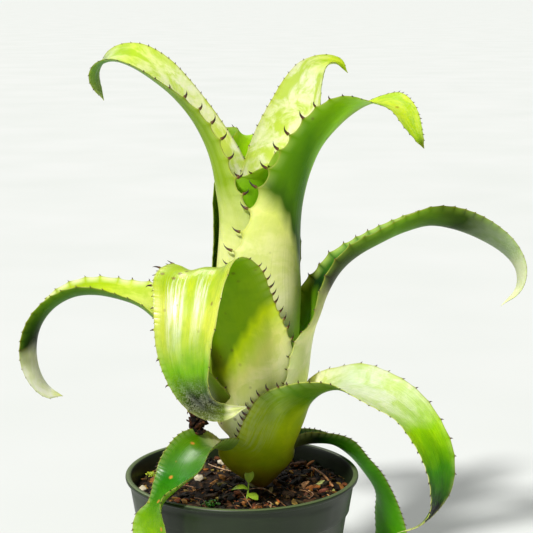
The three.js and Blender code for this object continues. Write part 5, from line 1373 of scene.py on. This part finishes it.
def leaflet(points, widths, thick=0.28, cup=0.25, nt=7, lobes=0.0):
    """A small closed blade for the seedling and the weeds."""
    P = spline(points, 12)
    W = np.interp(np.linspace(0, 1, 12), np.linspace(0, 1, len(widths)), widths)
    T = unit(np.gradient(P, axis=0))
    upv = np.array([0.0, -0.25, 1.0])
    verts, faces = [], []
    m = len(P)
    for layer in (0.5, -0.5):
        for i in range(m):
            b = unit(np.cross(T[i], upv))
            n = np.cross(b, T[i])
            for j in range(nt):
                t = 2 * j / (nt - 1) - 1
                w = W[i] / 2 * (1 + lobes * math.sin(i * 2.4 + j))
                p = P[i] + b * w * t + n * (cup * w * t * t + thick * layer * (1 - 0.6 * t * t))
                verts.append(tuple(p * MM))
    N = m * nt
    for i in range(m - 1):
        for j in range(nt - 1):
            a = i * nt + j
            faces.append((a, a + nt, a + nt + 1, a + 1))
            faces.append((N + a, N + a + 1, N + a + nt + 1, N + a + nt))
        for j, flip in ((0, False), (nt - 1, True)):
            a = i * nt + j
            q = (a, N + a, N + a + nt, a + nt)
            faces.append(q if not flip else q[::-1])
    for i, flip in ((0, True), (m - 1, False)):
        for j in range(nt - 1):
            a = i * nt + j
            q = (a, N + a, N + a + 1, a + 1)
            faces.append(q if not flip else q[::-1])
    return verts, faces


def soft_green(name, light, dark, glow=0.5):
    g = Graph(name)
    xyz = g.coords()
    tint, _ = g.attr("tint")
    n = g.noise(xyz, 300.0, 3.0, 0.6)
    colour = g.ramp(n, [(0.3, lin(dark)), (0.65, lin(light))])
    colour = g.mix(0.5, colour, tint)
    g.set("Base Color", colour)
    g.set("Roughness", g.math("ADD", g.math("MULTIPLY", n, 0.2), 0.38))
    g.set("Subsurface Weight", glow)
    g.set("Subsurface Radius", (1.0, 1.0, 0.25))
    g.set("Subsurface Scale", 0.0015)
    g.set("Normal", g.bump(n, 0.25, 0.0003))
    return g.mat


def build_seedling():
    green = lin((176, 214, 60))
    pieces = []
    v, f = tube(spline([(3.6, -28, 97), (3.6, -27, 103), (4.4, -25, 108), (4.6, -24, 112.5)], 16), [0.75 - 0.02 * i for i in range(16)], 8)
    pieces.append((v, f, lin((150, 180, 70))))
    for pts, wd, tint in [
        ([(4.6, -24, 112.0), (4.9, -21.8, 114.6), (5.4, -20.2, 117.6), (6.2, -19.4, 120.0)], [1.2, 5.0, 6.4, 5.6, 0.8], green),
        ([(4.4, -25, 108), (1.2, -25.4, 109.4), (-2.4, -25.4, 109.2), (-6.2, -25.0, 107.6)], [1.0, 4.6, 5.6, 4.0, 0.6], green),
        ([(4.1, -26.0, 105.5), (6.0, -28.4, 105.4), (8.4, -30.6, 104.6), (10.4, -32.2, 103.4)], [1.0, 5.0, 6.6, 5.4, 0.8], green),
    ]:
        v, f = leaflet(pts, wd)
        pieces.append((v, f, tint))
    gather("seedling_plant", pieces, [soft_green("seedling_leaf", (186, 222, 60), (128, 176, 30), 0.35)], "seedling", True)


build_seedling()


def build_moss():
    rng = random.Random(23)
    for name, node, x0, y0, R, n, cols in (
        ("weed_front", "moss_tuft_front", -19, -35.5, 5.0, 46, [(60, 150, 20), (84, 180, 30), (50, 120, 16)]),
        ("moss_left", "moss_tuft_left", -60, 24, 4.6, 60, [(170, 190, 30), (140, 170, 24), (196, 206, 50)]),
    ):
        pieces = []
        for i in range(n):
            a = rng.uniform(0, 2 * math.pi)
            r = R * math.sqrt(rng.random())
            x, y = x0 + r * math.cos(a), y0 + 0.8 * r * math.sin(a)
            z = soil_height(x, y) + rng.uniform(0.2, 1.4)
            h = rng.uniform(0, 2 * math.pi)
            ln = rng.uniform(1.3, 2.6)
            pts = [(x, y, z), (x + ln * 0.5 * math.cos(h), y + ln * 0.5 * math.sin(h), z + rng.uniform(0.4, 1.1)),
                   (x + ln * math.cos(h), y + ln * math.sin(h), z + rng.uniform(0.2, 0.9))]
            v, f = leaflet(pts, [0.4, 1.3, 0.9, 0.3], 0.18, 0.2, 5)
            pieces.append((v, f, lin(rng.choice(cols))))
        gather(name, pieces, [soft_green(name + "_leaf", cols[1], cols[2], 0.25)], node, True)


build_moss()

# stem: keep the CAD solid, hidden in the rosette, with a finished material
STEM = plain("stem_fibre", [(96, 88, 48), (150, 142, 92), (186, 176, 120)], 180.0, 0.85, 0.6)
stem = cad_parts["stem_and_roots"]
stem = stem if not isinstance(stem, str) else bpy.data.objects[stem]
stem.data.materials.clear()
stem.data.materials.append(STEM)

# ------------------------------------------------------------------ floor and light
floor_mesh = bpy.data.meshes.new("floor")
S = 260.0
floor_mesh.from_pydata([(-S, -S, 0), (S, -S, 0), (S, S, 0), (-S, S, 0)], [], [(0, 1, 2, 3)])
floor = bpy.data.objects.new("floor", floor_mesh)
scene.collection.objects.link(floor)
floor.location.z = -0.0002
fg = Graph("floor")
fn = fg.noise(fg.coords(), 3.0, 2.0)
fg.set("Base Color", fg.ramp(fn, [(0.3, lin((214, 217, 216))), (0.7, lin((219, 221, 221)))]))
fg.set("Roughness", 0.9)
fg.set("Specular IOR Level", 0.1)
floor_mesh.materials.append(fg.mat)


SUN_AZ, SUN_EL, SUN_SOFT, SUN_POWER = -119.0, 46.0, 6.0, 3.7


def distant(name, az, el, soft, power, colour):
    """A far, soft light: az and el say where it stands, soft is how wide it looks in degrees."""
    d = bpy.data.lights.new(name, "SUN")
    d.energy = power
    d.angle = math.radians(soft)
    d.color = colour
    o = bpy.data.objects.new(name, d)
    toward = Vector((math.cos(math.radians(az)) * math.cos(math.radians(el)), math.sin(math.radians(az)) * math.cos(math.radians(el)), math.sin(math.radians(el))))
    o.rotation_euler = toward.to_track_quat("Z", "Y").to_euler()
    o.location = toward * 2.0
    scene.collection.objects.link(o)


distant("key", SUN_AZ, SUN_EL, SUN_SOFT, SUN_POWER, (1.0, 0.99, 0.95))
distant("back", 115.0, 48.0, 25.0, 0.9, (1.0, 1.0, 0.95))
distant("left", 184.0, 24.0, 14.0, 0.35, (1.0, 1.0, 1.0))

world = bpy.data.worlds.new("studio")
world.use_nodes = True
bg = world.node_tree.nodes["Background"]
bg.inputs[0].default_value = (0.93, 0.95, 0.92, 1.0)
bg.inputs[1].default_value = 0.24
scene.world = world
scene.view_settings.view_transform = "Standard"
scene.view_settings.look = "None"
